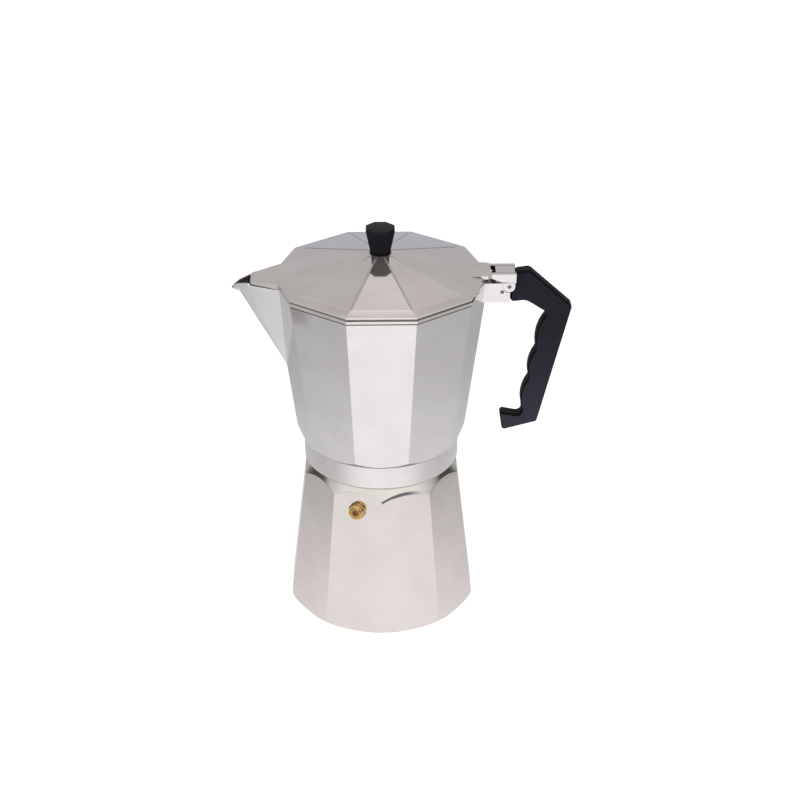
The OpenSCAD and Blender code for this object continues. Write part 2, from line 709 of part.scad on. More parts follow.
// Outline of the handle, anticlockwise in the plane of the pot's axis
function handle_outline() =
    let (neck_x = lug_x + 0.7, face_x = web_out_x + seat_gap, top_z = arm_top_z - 0.6,
        neck_foot = [neck_x, lug_foot_z - 1.2], under = [neck_x + 10.4, lug_foot_z + 0.2],
        bend = [bend_x, bend_z],
        notch = [for (k = [0:3]) bend - [3.1, 4.4] - k * finger_pitch * [finger_lean, 1]],
        palm = notch[3] + [0.8, -hook_drop], hook_tip = palm + [-hook_w, 3.4],
        foot_z = palm[1] - hook_h, hook_foot = [hook_tip[0] + 2.2, foot_z],
        heel = [handle_x - handle_lean, foot_z + 6.6],
        outer = [handle_x, handle_corner_z], crown = [face_x + 10, top_z + 1.4], face_top = [face_x, top_z],
        step = [-0.8, -1.8], round_r = handle_edge + 0.5)
    concat(
        corner([neck_x, pin2_z - 3], neck_foot, under, round_r, 3),
        corner(neck_foot, under, bend, 9, 4),
        corner(under, bend, notch[0], 3, 4),
        bulge(notch[0], notch[1], -bump, 8),
        bulge(notch[1] + step, notch[2], -bump, 8),
        bulge(notch[2] + step, notch[3], -bump, 8),
        corner(notch[3], palm, hook_tip, 3.5, 4),
        corner(palm, hook_tip, hook_foot, round_r, 4),
        corner(hook_tip, hook_foot, heel, round_r, 4),
        corner(hook_foot, heel, outer, round_r, 4),
        corner(heel, outer, crown, 3, 5),
        corner(outer, crown, face_top, 4, 5),
        corner(crown, face_top, [face_x, hinge_z], round_r, 3),
        [[face_x, pin2_z + 1.5], [neck_x, pin2_z - 3]]);

module handle() {
    outline = handle_outline();
    half_t = handle_t / 2;
    edge = [for (a = [90:-30:0]) [half_t - handle_edge * (1 - sin(a)), handle_edge * (1 - cos(a))]];
    layers = concat(edge, [for (i = [3:-1:0]) [-edge[i][0], edge[i][1]]]);
    face = fill(inset(outline, handle_edge), [for (k = [0:len(outline) - 1]) k]);
    color("dimgray") difference() {
        union() {
            skin([for (a = layers) [for (p = inset(outline, a[1])) [p[0], a[0], p[1]]]], face);
            upright(2 * tongue_half_t) {
                translate([pin2_x, pin2_z]) circle(r = tongue_r);
                polygon([[pin2_x - tongue_r, lug_foot_z + 0.8], [handle_root_x, lug_foot_z + 0.8],
                    [handle_root_x, slot_top_z - clear], [pin2_x - tongue_r, slot_top_z - clear]]);
            }
        }
        pin_hole(pin2_x, pin2_z, pin_r + run_fit);
    }
}

module pin(x, z) {
    half_w = lug_w / 2;
    translate([x, 0, z]) rotate([90, 0, 0]) rotate_extrude() polygon([[0, -half_w], [pin_r - 0.3, -half_w],
        [pin_r, 0.3 - half_w], [pin_r, half_w - 0.3], [pin_r - 0.3, half_w], [0, half_w]]);
}

module handle_pin() {
    color("silver") pin(pin2_x, pin2_z);
}

module hinge_pin() {
    color("silver") pin(hinge_x, hinge_z);
}

module lid_form() {
    facet_loft(sides, 0, [[lid_z, lid_r - 0.3], [lid_z + 0.3, lid_r], [lip_z, lid_r],
        [lip_z + 1, lid_r - 0.2], [lip_z + 1.9, lid_r - 0.6], [lip_z + 2.7, lid_r - 1.5],
        [crease_z - crease_step, crease_r], [crease_z, panel_r], [lid_top_z, lid_top_r]]);
}

module lid_hollow() {
    facet_loft(sides, 0, [[lid_z - 1, lid_r - lid_t / flat], [lip_z + 1.1, lid_r - lid_t / flat],
        [crease_z - lid_t, crease_r - 0.4], [lid_top_z - lid_t, lid_top_r]]);
}

// The step that rests on the chamber's rim and leaves the shadow gap outside it
module lid_step() {
    step_r = lid_r - lid_t / flat;
    difference() {
        facet_loft(sides, 0, [[rim_z + seat_gap, step_r], [lip_z + 1.7, step_r]]);
        facet_loft(sides, 0, [[rim_z, step_r - 1.6], [lip_z + 2.2, step_r - 1.6]]);
    }
}

// The flap over the spout, its sides moved inwards by t and its top lowered by t
module flap_form(t) {
    root_x = lid_r * flat - 4;
    root_w = 2 * (spout_half_w - 0.4 - t);
    lift = 0.5;
    foot_z = rim_z + lift - t;
    hull() {
        translate([-root_x - 1, -root_w / 2, foot_z]) cube([1, root_w, lip_z + 2.2 - rim_z - lift]);
        for (s = [-1, 1]) translate([-flap_x + 1.5 + t, s * (flap_half_w - 1.5 - t), foot_z])
            cylinder(r = 1.5, h = 1.8, $fn = 24);
    }
}

// The tongue with its two arms, seen from the side and from above
module arms() {
    slot_x = web_in_x - slot_gap;
    root_x = crease_r * flat - 1;
    foot_z = hinge_z - ear_r - 1;
    difference() {
        union() {
            intersection() {
                upright(far) polygon([[crease_r * flat, crease_z], [crease_r * flat, crease_z - lid_t],
                    [lid_r, crease_z - 2.4], [web_in_x + 3, rim_z + 1.7], [hinge_x - 1, rim_z + 1],
                    [arm_end_x, rim_z + 0.8], [arm_end_x, arm_top_z], [slot_x, arm_top_z]]);
                translate([0, 0, rim_z]) linear_extrude(height = arm_top_z - rim_z + 1) polygon([
                    [root_x, -tongue_root_half_w], [lid_r - 2, 1 - tongue_root_half_w],
                    [web_in_x - 3, -arm_w / 2], [arm_end_x, -arm_w / 2], [arm_end_x, arm_w / 2],
                    [web_in_x - 3, arm_w / 2], [lid_r - 2, tongue_root_half_w - 1],
                    [root_x, tongue_root_half_w]]);
            }
            upright(lug_w) {
                translate([hinge_x, hinge_z]) circle(r = ear_r);
                polygon([[hinge_x - ear_r, hinge_z], [hinge_x + ear_r, hinge_z], [hinge_x + ear_r, rim_z + 2],
                    [hinge_x - ear_r, rim_z + 2]]);
            }
        }
        translate([slot_x, -arm_in, foot_z])
            cube([arm_end_x + 1 - slot_x, 2 * arm_in, arm_top_z + 1 - foot_z]);
        pin_hole(hinge_x, hinge_z, pin_r + run_fit);
    }
}

module lid() {
    color("lightgray") difference() {
        union() {
            difference() {
                union() {
                    lid_form();
                    flap_form(0);
                }
                lid_hollow();
                flap_form(lid_t);
            }
            lid_step();
            arms();
            for (k = [0:sides - 1]) rotate([0, 0, k * 360 / sides])
                translate([lid_top_r, 0, lid_top_z - bead_r * 0.45]) rotate([0, 90 + bead_angle, 0])
                cylinder(r = bead_r, h = (panel_r - lid_top_r) / cos(bead_angle), $fn = 16);
        }
        cylinder(r = screw_r + clear, h = far + far);
    }
}

module knob() {
    k = cos(180 / knob_sides);
    top_z = knob_z + knob_h;
    color("dimgray") difference() {
        facet_loft(knob_sides, 180 / knob_sides, [[knob_z, (knob_foot_w - 0.5) / k],
            [knob_z + 0.5, knob_foot_w / k], [top_z - knob_band, knob_w / k], [top_z - 0.5, knob_w / k],
            [top_z, (knob_w - 0.5) / k], [top_z + 0.7, knob_w * 0.35]]);
        translate([0, 0, knob_z - 1]) cylinder(r = insert_r + press_fit, h = insert_h + 1.2);
    }
}

module knob_insert() {
    color("goldenrod") translate([0, 0, knob_z]) difference() {
        cylinder(r = insert_r, h = insert_h);
        translate([0, 0, -1]) cylinder(r = screw_r + press_fit, h = insert_h);
    }
}

module knob_shield() {
    color("dimgray") translate([0, 0, shield_z]) difference() {
        rotate_extrude() polygon([[0, 0], [shield_r, 0], [shield_r, shield_t - 0.2],
            [shield_r - 0.2, shield_t], [0, shield_t]]);
        translate([0, 0, -1]) cylinder(r = screw_r + clear, h = shield_t + 2);
    }
}

module knob_screw() {
    top_z = knob_z + insert_h - 2.5;
    head_z = washer_z - press_fit;
    color("silver") difference() {
        rotate_extrude() polygon([[0, head_z - screw_head_t], [screw_head_r - 0.8, head_z - screw_head_t],
            [screw_head_r, head_z - screw_head_t + 0.8], [screw_head_r, head_z], [screw_r, head_z],
            [screw_r, top_z - 0.4], [screw_r - 0.4, top_z], [0, top_z]]);
        translate([-screw_head_r - 1, -0.5, head_z - screw_head_t - 1]) cube([2 * screw_head_r + 2, 1, 2]);
    }
}

module screw_washer() {
    color("silver") translate([0, 0, washer_z]) difference() {
        cylinder(r = screw_washer_r, h = screw_washer_t);
        translate([0, 0, -1]) cylinder(r = screw_r + clear, h = screw_washer_t + 2);
    }
}

boiler();
valve_body();
valve_washer();
valve_seat();
valve_plunger();
valve_spring();
funnel_basket();
funnel_stem();
funnel_plate();
gasket();
filter_plate();
collector();
handle();
handle_pin();
lid();
hinge_pin();
knob();
knob_insert();
knob_shield();
knob_screw();
screw_washer();
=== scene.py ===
"""Dresses the stovetop moka pot: castings, valve, funnel, seal, hinge, handle, knob and the studio."""
import logging
import math
from dataclasses import dataclass, field
from enum import Enum
from typing import Callable, Iterable, Mapping, Sequence

import bmesh
import bpy
from mathutils import Matrix, Vector


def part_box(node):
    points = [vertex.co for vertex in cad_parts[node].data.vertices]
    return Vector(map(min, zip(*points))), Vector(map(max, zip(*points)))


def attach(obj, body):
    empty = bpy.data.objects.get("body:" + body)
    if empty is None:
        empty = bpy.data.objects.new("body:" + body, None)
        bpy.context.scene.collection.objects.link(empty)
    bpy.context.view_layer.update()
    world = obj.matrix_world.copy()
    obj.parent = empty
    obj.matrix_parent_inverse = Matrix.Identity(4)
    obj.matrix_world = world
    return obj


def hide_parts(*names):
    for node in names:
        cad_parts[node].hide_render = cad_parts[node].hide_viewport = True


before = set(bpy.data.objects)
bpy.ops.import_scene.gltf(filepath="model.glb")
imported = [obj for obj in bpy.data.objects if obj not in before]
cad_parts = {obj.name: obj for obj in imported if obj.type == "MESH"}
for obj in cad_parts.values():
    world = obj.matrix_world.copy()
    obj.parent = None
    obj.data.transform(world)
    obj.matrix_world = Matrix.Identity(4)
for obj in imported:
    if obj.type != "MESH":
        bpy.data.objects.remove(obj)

log = logging.getLogger("moka_pot")
MM = 0.001
WELD = 0.004 * MM
FLAT_ANGLE = math.radians(0.5)
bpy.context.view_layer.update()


# ---------------------------------------------------------------------------------------------------
# Shader maths
# ---------------------------------------------------------------------------------------------------
class Value:
    """A shader socket that adds Math nodes when it is used in an expression."""

    def __init__(self, graph: "ShaderGraph", socket: bpy.types.NodeSocket) -> None:
        """Wraps a socket.

        Args:
            graph: The graph that the socket belongs to.
            socket: The output socket.
        """
        self.graph = graph
        self.socket = socket

    def __add__(self, other: "Value | float") -> "Value":
        """Sum of two values."""
        return self.graph.math("ADD", self, other)

    def __radd__(self, other: float) -> "Value":
        """Sum with a number on the left."""
        return self.graph.math("ADD", other, self)

    def __sub__(self, other: "Value | float") -> "Value":
        """Difference of two values."""
        return self.graph.math("SUBTRACT", self, other)

    def __rsub__(self, other: float) -> "Value":
        """Difference from a number on the left."""
        return self.graph.math("SUBTRACT", other, self)

    def __mul__(self, other: "Value | float") -> "Value":
        """Product of two values."""
        return self.graph.math("MULTIPLY", self, other)

    def __rmul__(self, other: float) -> "Value":
        """Product with a number on the left."""
        return self.graph.math("MULTIPLY", other, self)

    def __truediv__(self, other: "Value | float") -> "Value":
        """Quotient of two values."""
        return self.graph.math("DIVIDE", self, other)

    def __pow__(self, other: float) -> "Value":
        """Power of a value."""
        return self.graph.math("POWER", self, other)

    def __neg__(self) -> "Value":
        """Negative of a value."""
        return self.graph.math("MULTIPLY", self, -1.0)

    def clamp(self) -> "Value":
        """The value held between 0 and 1."""
        node = self.graph.node("ShaderNodeClamp", {}, {"Value": self})
        return Value(self.graph, node.outputs[0])

    def smooth(self, low: float, high: float, start: float = 0.0, end: float = 1.0) -> "Value":
        """A smooth step from start to end while the value goes from low to high.

        Args:
            low: Value at which the step starts.
            high: Value at which the step ends.
            start: Result below low.
            end: Result above high.

        Returns:
            The stepped value.
        """
        node = self.graph.node(
            "ShaderNodeMapRange",
            {"interpolation_type": "SMOOTHSTEP"},
            {"Value": self, "From Min": low, "From Max": high, "To Min": start, "To Max": end},
        )
        return Value(self.graph, node.outputs[0])


class ShaderGraph:
    """The node tree of one material or of the world."""

    def __init__(self, tree: bpy.types.NodeTree) -> None:
        """Empties the tree.

        Args:
            tree: The node tree to fill.
        """
        self.tree = tree
        tree.nodes.clear()

    def node(
        self, kind: str, settings: Mapping[str, object], inputs: Mapping[str | int, object]
    ) -> bpy.types.Node:
        """Adds a node, sets it up and fills its sockets.

        Args:
            kind: The node's type.
            settings: Attributes that are set before the sockets.
            inputs: Numbers, colours, sockets or values by the socket's name or number.

        Returns:
            The new node.
        """
        made = self.tree.nodes.new(kind)
        for name, setting in settings.items():
            setattr(made, name, setting)
        for name, value in inputs.items():
            self.feed(made.inputs[name], value)
        return made

    def feed(self, target: bpy.types.NodeSocket, value: object) -> None:
        """Links or sets one socket.

        Args:
            target: The socket to feed.
            value: A Value, an output socket, a number or a colour.
        """
        if isinstance(value, Value):
            self.tree.links.new(value.socket, target)
        elif isinstance(value, bpy.types.NodeSocket):
            self.tree.links.new(value, target)
        else:
            target.default_value = value

    def math(self, operation: str, *values: "Value | float") -> Value:
        """Adds a Math node.

        Args:
            operation: The node's operation.
            values: Its inputs in order.

        Returns:
            The result.
        """
        node = self.node("ShaderNodeMath", {"operation": operation}, dict(enumerate(values)))
        return Value(self, node.outputs[0])

    def place(self, scale: Sequence[float] = (1.0, 1.0, 1.0)) -> bpy.types.NodeSocket:
        """Object coordinates, stretched.

        Args:
            scale: Scale along each axis.

        Returns:
            The vector socket.
        """
        where = self.node("ShaderNodeTexCoord", {}, {}).outputs["Object"]
        return self.node("ShaderNodeMapping", {}, {"Vector": where, "Scale": scale}).outputs[0]

    def noise(
        self, where: bpy.types.NodeSocket, scale: float, detail: float = 3.0, rough: float = 0.5
    ) -> Value:
        """A noise pattern.

        Args:
            where: The vector to read.
            scale: Size of the pattern in cells per metre.
            detail: Number of octaves.
            rough: Strength of the finer octaves.

        Returns:
            Values around 0.5.
        """
        node = self.node(
            "ShaderNodeTexNoise",
            {},
            {"Vector": where, "Scale": scale, "Detail": detail, "Roughness": rough},
        )
        return Value(self, node.outputs[0])

    def axes(self, where: bpy.types.NodeSocket) -> tuple[Value, Value, Value]:
        """The three numbers of a vector."""
        node = self.node("ShaderNodeSeparateXYZ", {}, {0: where})
        return tuple(Value(self, out) for out in node.outputs)

    def radius(self) -> Value:
        """Distance from the pot's upright axis."""
        x, y, _ = self.axes(self.place())
        return (x * x + y * y) ** 0.5

    def away(self, point: Sequence[float]) -> Value:
        """Distance from a point."""
        gap = self.node("ShaderNodeVectorMath", {"operation": "DISTANCE"}, {0: self.place(), 1: point})
        return Value(self, gap.outputs["Value"])

    def rays(self) -> tuple[Value, Value]:
        """1 on a ray from the camera, and 1 on a glossy ray."""
        path = self.node("ShaderNodeLightPath", {}, {})
        return tuple(Value(self, path.outputs[name]) for name in ("Is Camera Ray", "Is Glossy Ray"))

    def blend(self, share: "Value | float", first: object, second: object) -> bpy.types.NodeSocket:
        """A colour between two colours.

        Args:
            share: Share of the second colour.
            first: Colour or colour socket at 0.
            second: Colour or colour socket at 1.

        Returns:
            The colour socket.
        """
        ends = [(*end, 1.0) if isinstance(end, tuple) else end for end in (first, second)]
        node = self.node("ShaderNodeMix", {"data_type": "RGBA"}, {0: share, 6: ends[0], 7: ends[1]})
        return node.outputs[2]

    def bump(
        self, height: Value, strength: float, distance: float, normal: object = None
    ) -> bpy.types.NodeSocket:
        """A bumped normal.

        Args:
            height: The height, from 0 to 1.
            strength: Share of the effect.
            distance: Depth in metres.
            normal: A normal to start from.

        Returns:
            The normal socket.
        """
        inputs = {"Strength": strength, "Distance": distance, "Height": height}
        if normal is not None:
            inputs["Normal"] = normal
        return self.node("ShaderNodeBump", {}, inputs).outputs[0]

    def surface(self, inputs: Mapping[str | int, object]) -> None:
        """Ends the material in a Principled shader with the given sockets."""
        shader = self.node("ShaderNodeBsdfPrincipled", {}, inputs)
        self.node("ShaderNodeOutputMaterial", {}, {0: shader.outputs[0]})


def new_graph(name: str) -> tuple[bpy.types.Material, ShaderGraph]:
    """A new material and its empty graph.

    Args:
        name: The material's name.

    Returns:
        The material and the graph.
    """
    material = bpy.data.materials.new(name)
    material.use_nodes = True
    return material, ShaderGraph(material.node_tree)


# ---------------------------------------------------------------------------------------------------
# Finishes
# ---------------------------------------------------------------------------------------------------
class Grain(Enum):
    """The way a metal surface was worked."""

    LINISHED = "linished"
    TURNED = "turned"
    RAW = "raw"


@dataclass(frozen=True)
class Aluminium:
    """Aluminium, polished, turned or left as it was cast or pressed."""

    name: str
    grain: Grain
    tint: tuple[float, float, float] = (0.82, 0.80, 0.785)
    shade: tuple[float, float, float] = (0.76, 0.735, 0.72)
    roughness: float = 0.1
    relief: float = 0.2
    ribs: int = 0
    rib_reach: float = 64.2 * MM
    metal: float = 1.0
    # A painted reflection: a dark streak under the front arch.
    streak: bool = False
    streak_colour: tuple[float, float, float] = (0.15, 0.155, 0.17)
    shoulder_radius: float = 55.8 * MM
    shoulder_height: float = 103.2 * MM
    shoulder_slope: float = 1.2576
    panel_way: tuple[float, float] = (0.9511, 0.3090)
    # A painted reflection: a brown patch round one point of one flat side, below the lid's seam.
    reflection_patch_centre: tuple[float, float, float] | None = None
    reflection_patch_colour: tuple[float, float, float] = (0.26, 0.22, 0.18)
    reflection_patch_side: tuple[float, float, float] = (-0.588, -0.809, 66.9 * MM)

    def streak_at(self, graph: ShaderGraph) -> Value:
        """A painted dark streak under the front arch, which stands for a reflection there.

        Args:
            graph: The material's graph.

        Returns:
            The streak's mask.
        """
        x, y, z = graph.axes(graph.place())
        below = self.shoulder_height + (self.shoulder_radius - graph.radius()) * self.shoulder_slope - z
        along = x * self.panel_way[0] + y * self.panel_way[1]
        reach = along.smooth(-15.0 * MM, -5.0 * MM, 1.5 * MM, 2.0 * MM)
        ends = along.smooth(-17.8 * MM, -17.2 * MM) * along.smooth(0.0, 13.0 * MM, 1.0, 0.1)
        return (below - reach).smooth(-0.15 * MM, 0.25 * MM, 1.0, 0.0) * (-y).smooth(0.0, 10.0 * MM) * ends

    def reflection_patch_at(self, graph: ShaderGraph) -> Value:
        """A painted brown patch round one point of one flat side, which stands for a reflection there.

        Args:
            graph: The material's graph.

        Returns:
            The patch's mask.
        """
        x, y, _ = graph.axes(graph.place())
        side = x * self.reflection_patch_side[0] + y * self.reflection_patch_side[1]
        ragged = graph.noise(graph.place(), 160.0, 3.0, 0.6).smooth(0.2, 0.6, 0.6, 1.0)
        on_side = side.smooth(self.reflection_patch_side[2], self.reflection_patch_side[2] + 0.7 * MM)
        return graph.away(self.reflection_patch_centre).smooth(1.0 * MM, 17.0 * MM, 0.5, 0.0) * on_side * ragged

    def ribs_at(self, graph: ShaderGraph) -> tuple[Value, Value]:
        """The ribs along the panels' seams.

        Args:
            graph: The material's graph.

        Returns:
            Masks of the ribs' crests and of the painted shade lines at their feet.
        """
        x, y, _ = graph.axes(graph.place())
        radius = graph.radius()
        turn = graph.math("ARCTAN2", y, x) * (self.ribs / math.tau)
        away = graph.math("PINGPONG", turn, 0.5) * radius * (math.tau / self.ribs)
        inside = radius.smooth(self.rib_reach - 1.0 * MM, self.rib_reach, 1.0, 0.0)
        foot = graph.math("ABSOLUTE", away - 0.62 * MM).smooth(0.05 * MM, 0.3 * MM, 1.0, 0.0)
        return away.smooth(0.3 * MM, 0.6 * MM, 1.0, 0.0) * inside, foot * inside

    def material(self) -> bpy.types.Material:
        """Builds the finish.

        Returns:
            The finished material.
        """
        material, graph = new_graph(self.name)
        cloud = graph.noise(graph.place(), 38.0, 4.0, 0.55)
        if self.grain is Grain.TURNED:
            z = graph.axes(graph.place())[2]
            lathe = graph.node("ShaderNodeCombineXYZ", {}, {0: graph.radius(), 2: z})
            lines = graph.noise(lathe.outputs[0], 2600.0, 2.0, 0.6)
            depth = 0.02 * MM
        elif self.grain is Grain.LINISHED:
            lines = graph.noise(graph.place((1.0, 1.0, 0.045)), 2300.0, 2.0, 0.6)
            depth = 0.01 * MM
        else:
            lines = graph.noise(graph.place(), 1500.0, 3.0, 0.6)
            depth = 0.04 * MM
        soft = graph.noise(graph.place((1.0, 1.0, 0.5)), 9.0, 2.0, 0.5)
        normal = graph.bump(lines, self.relief, depth)
        normal = graph.bump(soft, self.relief, 0.35 * MM, normal)
        colour = graph.blend(cloud.smooth(0.25, 0.75), self.shade, self.tint)
        roughness = self.roughness + (cloud - 0.5) * 0.08 + (lines - 0.5) * 0.06
        if self.ribs:
            crest, foot = self.ribs_at(graph)
            colour = graph.blend(crest * 0.5, colour, (0.55, 0.51, 0.49))
            # Painted shade: dark lines in the creases at the ribs' feet.
            colour = graph.blend(foot * 0.5, colour, (0.25, 0.23, 0.22))
            roughness = roughness + crest * 0.42
        # Paints the dark streak under the front arch, a painted reflection.
        if self.streak:
            colour = graph.blend(self.streak_at(graph), colour, self.streak_colour)
        # Paints the brown patch below the lid's seam, a painted reflection.
        if self.reflection_patch_centre:
            colour = graph.blend(self.reflection_patch_at(graph), colour, self.reflection_patch_colour)
        graph.surface({
            "Base Color": colour,
            "Metallic": self.metal,
            "Roughness": roughness,
            "Normal": normal,
        })
        return material


@dataclass(frozen=True)
class Brass:
    """Machined brass with a golden tone that darkens in patches."""

    name: str
    tint: tuple[float, float, float] = (0.72, 0.49, 0.19)
    shade: tuple[float, float, float] = (0.54, 0.34, 0.11)
    roughness: float = 0.2
    mouth: tuple[float, float, float] | None = None
    mouth_shade: tuple[float, float, float] = (0.30, 0.165, 0.05)

    def material(self) -> bpy.types.Material:
        """Builds the finish.

        Returns:
            The finished material.
        """
        material, graph = new_graph(self.name)
        patch = graph.noise(graph.place(), 420.0, 3.0, 0.6)
        fine = graph.noise(graph.place(), 3200.0, 2.0, 0.5)
        colour = graph.blend(patch.smooth(0.35, 0.7), self.tint, self.shade)
        # Darkens the brass round the valve's bore: painted shade in its mouth.
        if self.mouth:
            near = graph.away(self.mouth).smooth(1.5 * MM, 4.6 * MM, 1.0, 0.0)
            colour = graph.blend(near, colour, self.mouth_shade)
        graph.surface({
            "Base Color": colour,
            "Metallic": 1.0,
            "Roughness": self.roughness + (fine - 0.5) * 0.15,
            "Normal": graph.bump(fine, 0.2, 0.02 * MM),
        })
        return material


@dataclass(frozen=True)
class Steel:
    """Turned steel for the pins, the spring and the screw."""

    name: str
    tint: tuple[float, float, float] = (0.60, 0.59, 0.58)
    shade: tuple[float, float, float] = (0.42, 0.41, 0.40)
    roughness: float = 0.3

    def material(self) -> bpy.types.Material:
        """Builds the finish.

        Returns:
            The finished material.
        """
        material, graph = new_graph(self.name)
        patch = graph.noise(graph.place(), 900.0, 3.0, 0.6)
        graph.surface({
            "Base Color": graph.blend(patch.smooth(0.3, 0.7), self.tint, self.shade),
            "Metallic": 1.0,
            "Roughness": self.roughness + (patch - 0.5) * 0.2,
            "Normal": graph.bump(patch, 0.15, 0.02 * MM),
        })
        return material


@dataclass(frozen=True)
class MouldedPlastic:
    """Black moulded plastic with a fine spark-eroded grain."""

    name: str
    tint: tuple[float, float, float]
    shade: tuple[float, float, float]
    roughness: float = 0.42
    parting: float = 0.0
    gloss: float = 0.16
    painted_light_low: tuple[float, float, float] | None = None

    def material(self) -> bpy.types.Material:
        """Builds the finish.

        Returns:
            The finished material.
        """
        material, graph = new_graph(self.name)
        cloud = graph.noise(graph.place(), 60.0, 3.0, 0.5)
        grain = graph.noise(graph.place(), 2600.0, 3.0, 0.6)
        colour = graph.blend(cloud.smooth(0.3, 0.7), self.tint, self.shade)
        normal = graph.bump(grain, 0.12, 0.03 * MM)
        x, y, z = graph.axes(graph.place())
        # Lighter towards the bottom: painted light.
        if self.painted_light_low:
            colour = graph.blend(z.smooth(125 * MM, 215 * MM, 1.0, 0.0), colour, self.painted_light_low)
        if self.parting:
            away = graph.math("ABSOLUTE", graph.math("ABSOLUTE", y) - self.parting)
            line = away.smooth(0.2 * MM, 0.5 * MM, 1.0, 0.0) * x.smooth(98 * MM, 104 * MM, 1.0, 0.0)
            colour = graph.blend(line, colour, (0.040, 0.035, 0.030))
            normal = graph.bump(line, 0.5, 0.2 * MM, normal)
        graph.surface({
            "Base Color": colour,
            "Roughness": self.roughness + (cloud - 0.5) * 0.14,
            "Specular IOR Level": self.gloss,
            "Normal": normal,
        })
        return material


@dataclass(frozen=True)
class SealRubber:
    """Pale rubber of the gasket."""

    name: str
    tint: tuple[float, float, float] = (0.80, 0.78, 0.72)
    shade: tuple[float, float, float] = (0.70, 0.67, 0.60)

    def material(self) -> bpy.types.Material:
        """Builds the finish.

        Returns:
            The finished material.
        """
        material, graph = new_graph(self.name)
        cloud = graph.noise(graph.place(), 120.0, 3.0, 0.5)
        fine = graph.noise(graph.place(), 2400.0, 2.0, 0.5)
        graph.surface({
            "Base Color": graph.blend(cloud.smooth(0.3, 0.7), self.tint, self.shade),
            "Roughness": 0.62 + (fine - 0.5) * 0.2,
            "Normal": graph.bump(fine, 0.2, 0.04 * MM),
        })
        return material


@dataclass
class Finishes:
    """Every material of the pot, made once."""

    # The boiler's flat sides carry a painted reflection, a dark streak under the front arch.
    boiler: bpy.types.Material = field(default_factory=Aluminium(
        "boiler_panels", Grain.LINISHED, (0.825, 0.76, 0.74), (0.765, 0.70, 0.675), streak=True).material)
    # The chamber's flat sides carry a painted reflection, a brown patch below the lid's seam.
    chamber: bpy.types.Material = field(default_factory=Aluminium(
        "chamber_panels", Grain.LINISHED, (0.832, 0.800, 0.815), (0.778, 0.745, 0.755), metal=0.94,
        reflection_patch_centre=(-56.0 * MM, -45.0 * MM, 242.0 * MM)).material)
    # The lid's panels carry painted shade lines at the feet of the ribs along their seams.
    lid: bpy.types.Material = field(default_factory=Aluminium(
        "lid_panels", Grain.LINISHED, (0.80, 0.735, 0.718), (0.742, 0.678, 0.655), 0.07, 0.12, 10,
        metal=0.92).material)
    # A paler copy of the flat sides' finish for the spout's sides, cast with the chamber: painted light.
    spout: bpy.types.Material = field(default_factory=Aluminium(
        "spout_sides_painted_light", Grain.LINISHED, (0.95, 0.94, 0.955), (0.90, 0.885, 0.895), metal=0.93).material)
    turned: bpy.types.Material = field(default_factory=Aluminium(
        "turned_faces", Grain.TURNED, (0.85, 0.822, 0.815), (0.79, 0.758, 0.75), 0.11).material)
    # A darker, warmer copy of the turned finish for the boiler's shoulder: painted shade below the
    # collector's ring.
    shoulder: bpy.types.Material = field(default_factory=Aluminium(
        "turned_shoulder_painted_shade", Grain.TURNED, (0.815, 0.78, 0.725), (0.76, 0.72, 0.665), 0.11).material)
    # Grey painted shade, under the turned ring's flare and on the rim in the seam below the lid.
    grey_painted_shade: bpy.types.Material = field(default_factory=Aluminium(
        "rim_and_flare_painted_shade", Grain.RAW, (0.36, 0.34, 0.33), (0.27, 0.25, 0.24), 0.45, 0.4).material)
    # Near-black painted shade: in the lid's seam, in the hinge's slot, on the web's nose and on the bars
    # under the lid's arms.
    dark_painted_shade: bpy.types.Material = field(default_factory=Aluminium(
        "recess_painted_shade", Grain.RAW, (0.10, 0.095, 0.09), (0.05, 0.046, 0.042), 0.5, 0.5).material)
    inside: bpy.types.Material = field(
        default_factory=Aluminium("cast_inside", Grain.RAW, roughness=0.42, relief=0.5).material)
    sheet: bpy.types.Material = field(
        default_factory=Aluminium("pressed_sheet", Grain.TURNED, roughness=0.28).material)
    # The valve's brass is painted darker round its bore, as shade.
    brass: bpy.types.Material = field(default_factory=Brass(
        "valve_brass", mouth=(-18.3 * MM, -56.4 * MM, 94.7 * MM)).material)
    steel: bpy.types.Material = field(default_factory=Steel("turned_steel").material)
    pin: bpy.types.Material = field(default_factory=Steel(
        "pin_steel", (0.30, 0.29, 0.28), (0.17, 0.165, 0.16), 0.4).material)
    knob: bpy.types.Material = field(default_factory=MouldedPlastic(
        "knob_plastic", (0.0085, 0.0078, 0.0105), (0.006, 0.0055, 0.0075), 0.4, gloss=0.13).material)
    # The handle's broad sides are painted lighter towards the bottom, as light.
    handle: bpy.types.Material = field(default_factory=MouldedPlastic(
        "handle_plastic", (0.0080, 0.0073, 0.0125), (0.0055, 0.0050, 0.0090),
        painted_light_low=(0.0215, 0.020, 0.0305)).material)
    # A darker copy of the handle's plastic for the rim round its broad sides: painted shade.
    handle_rim_painted_shade: bpy.types.Material = field(default_factory=MouldedPlastic(
        "handle_rim_painted_shade", (0.0022, 0.0020, 0.0030), (0.0015, 0.0013, 0.0020), 0.5, 1.5 * MM, 0.07).material)
    rubber: bpy.types.Material = field(default_factory=SealRubber("seal_rubber").material)


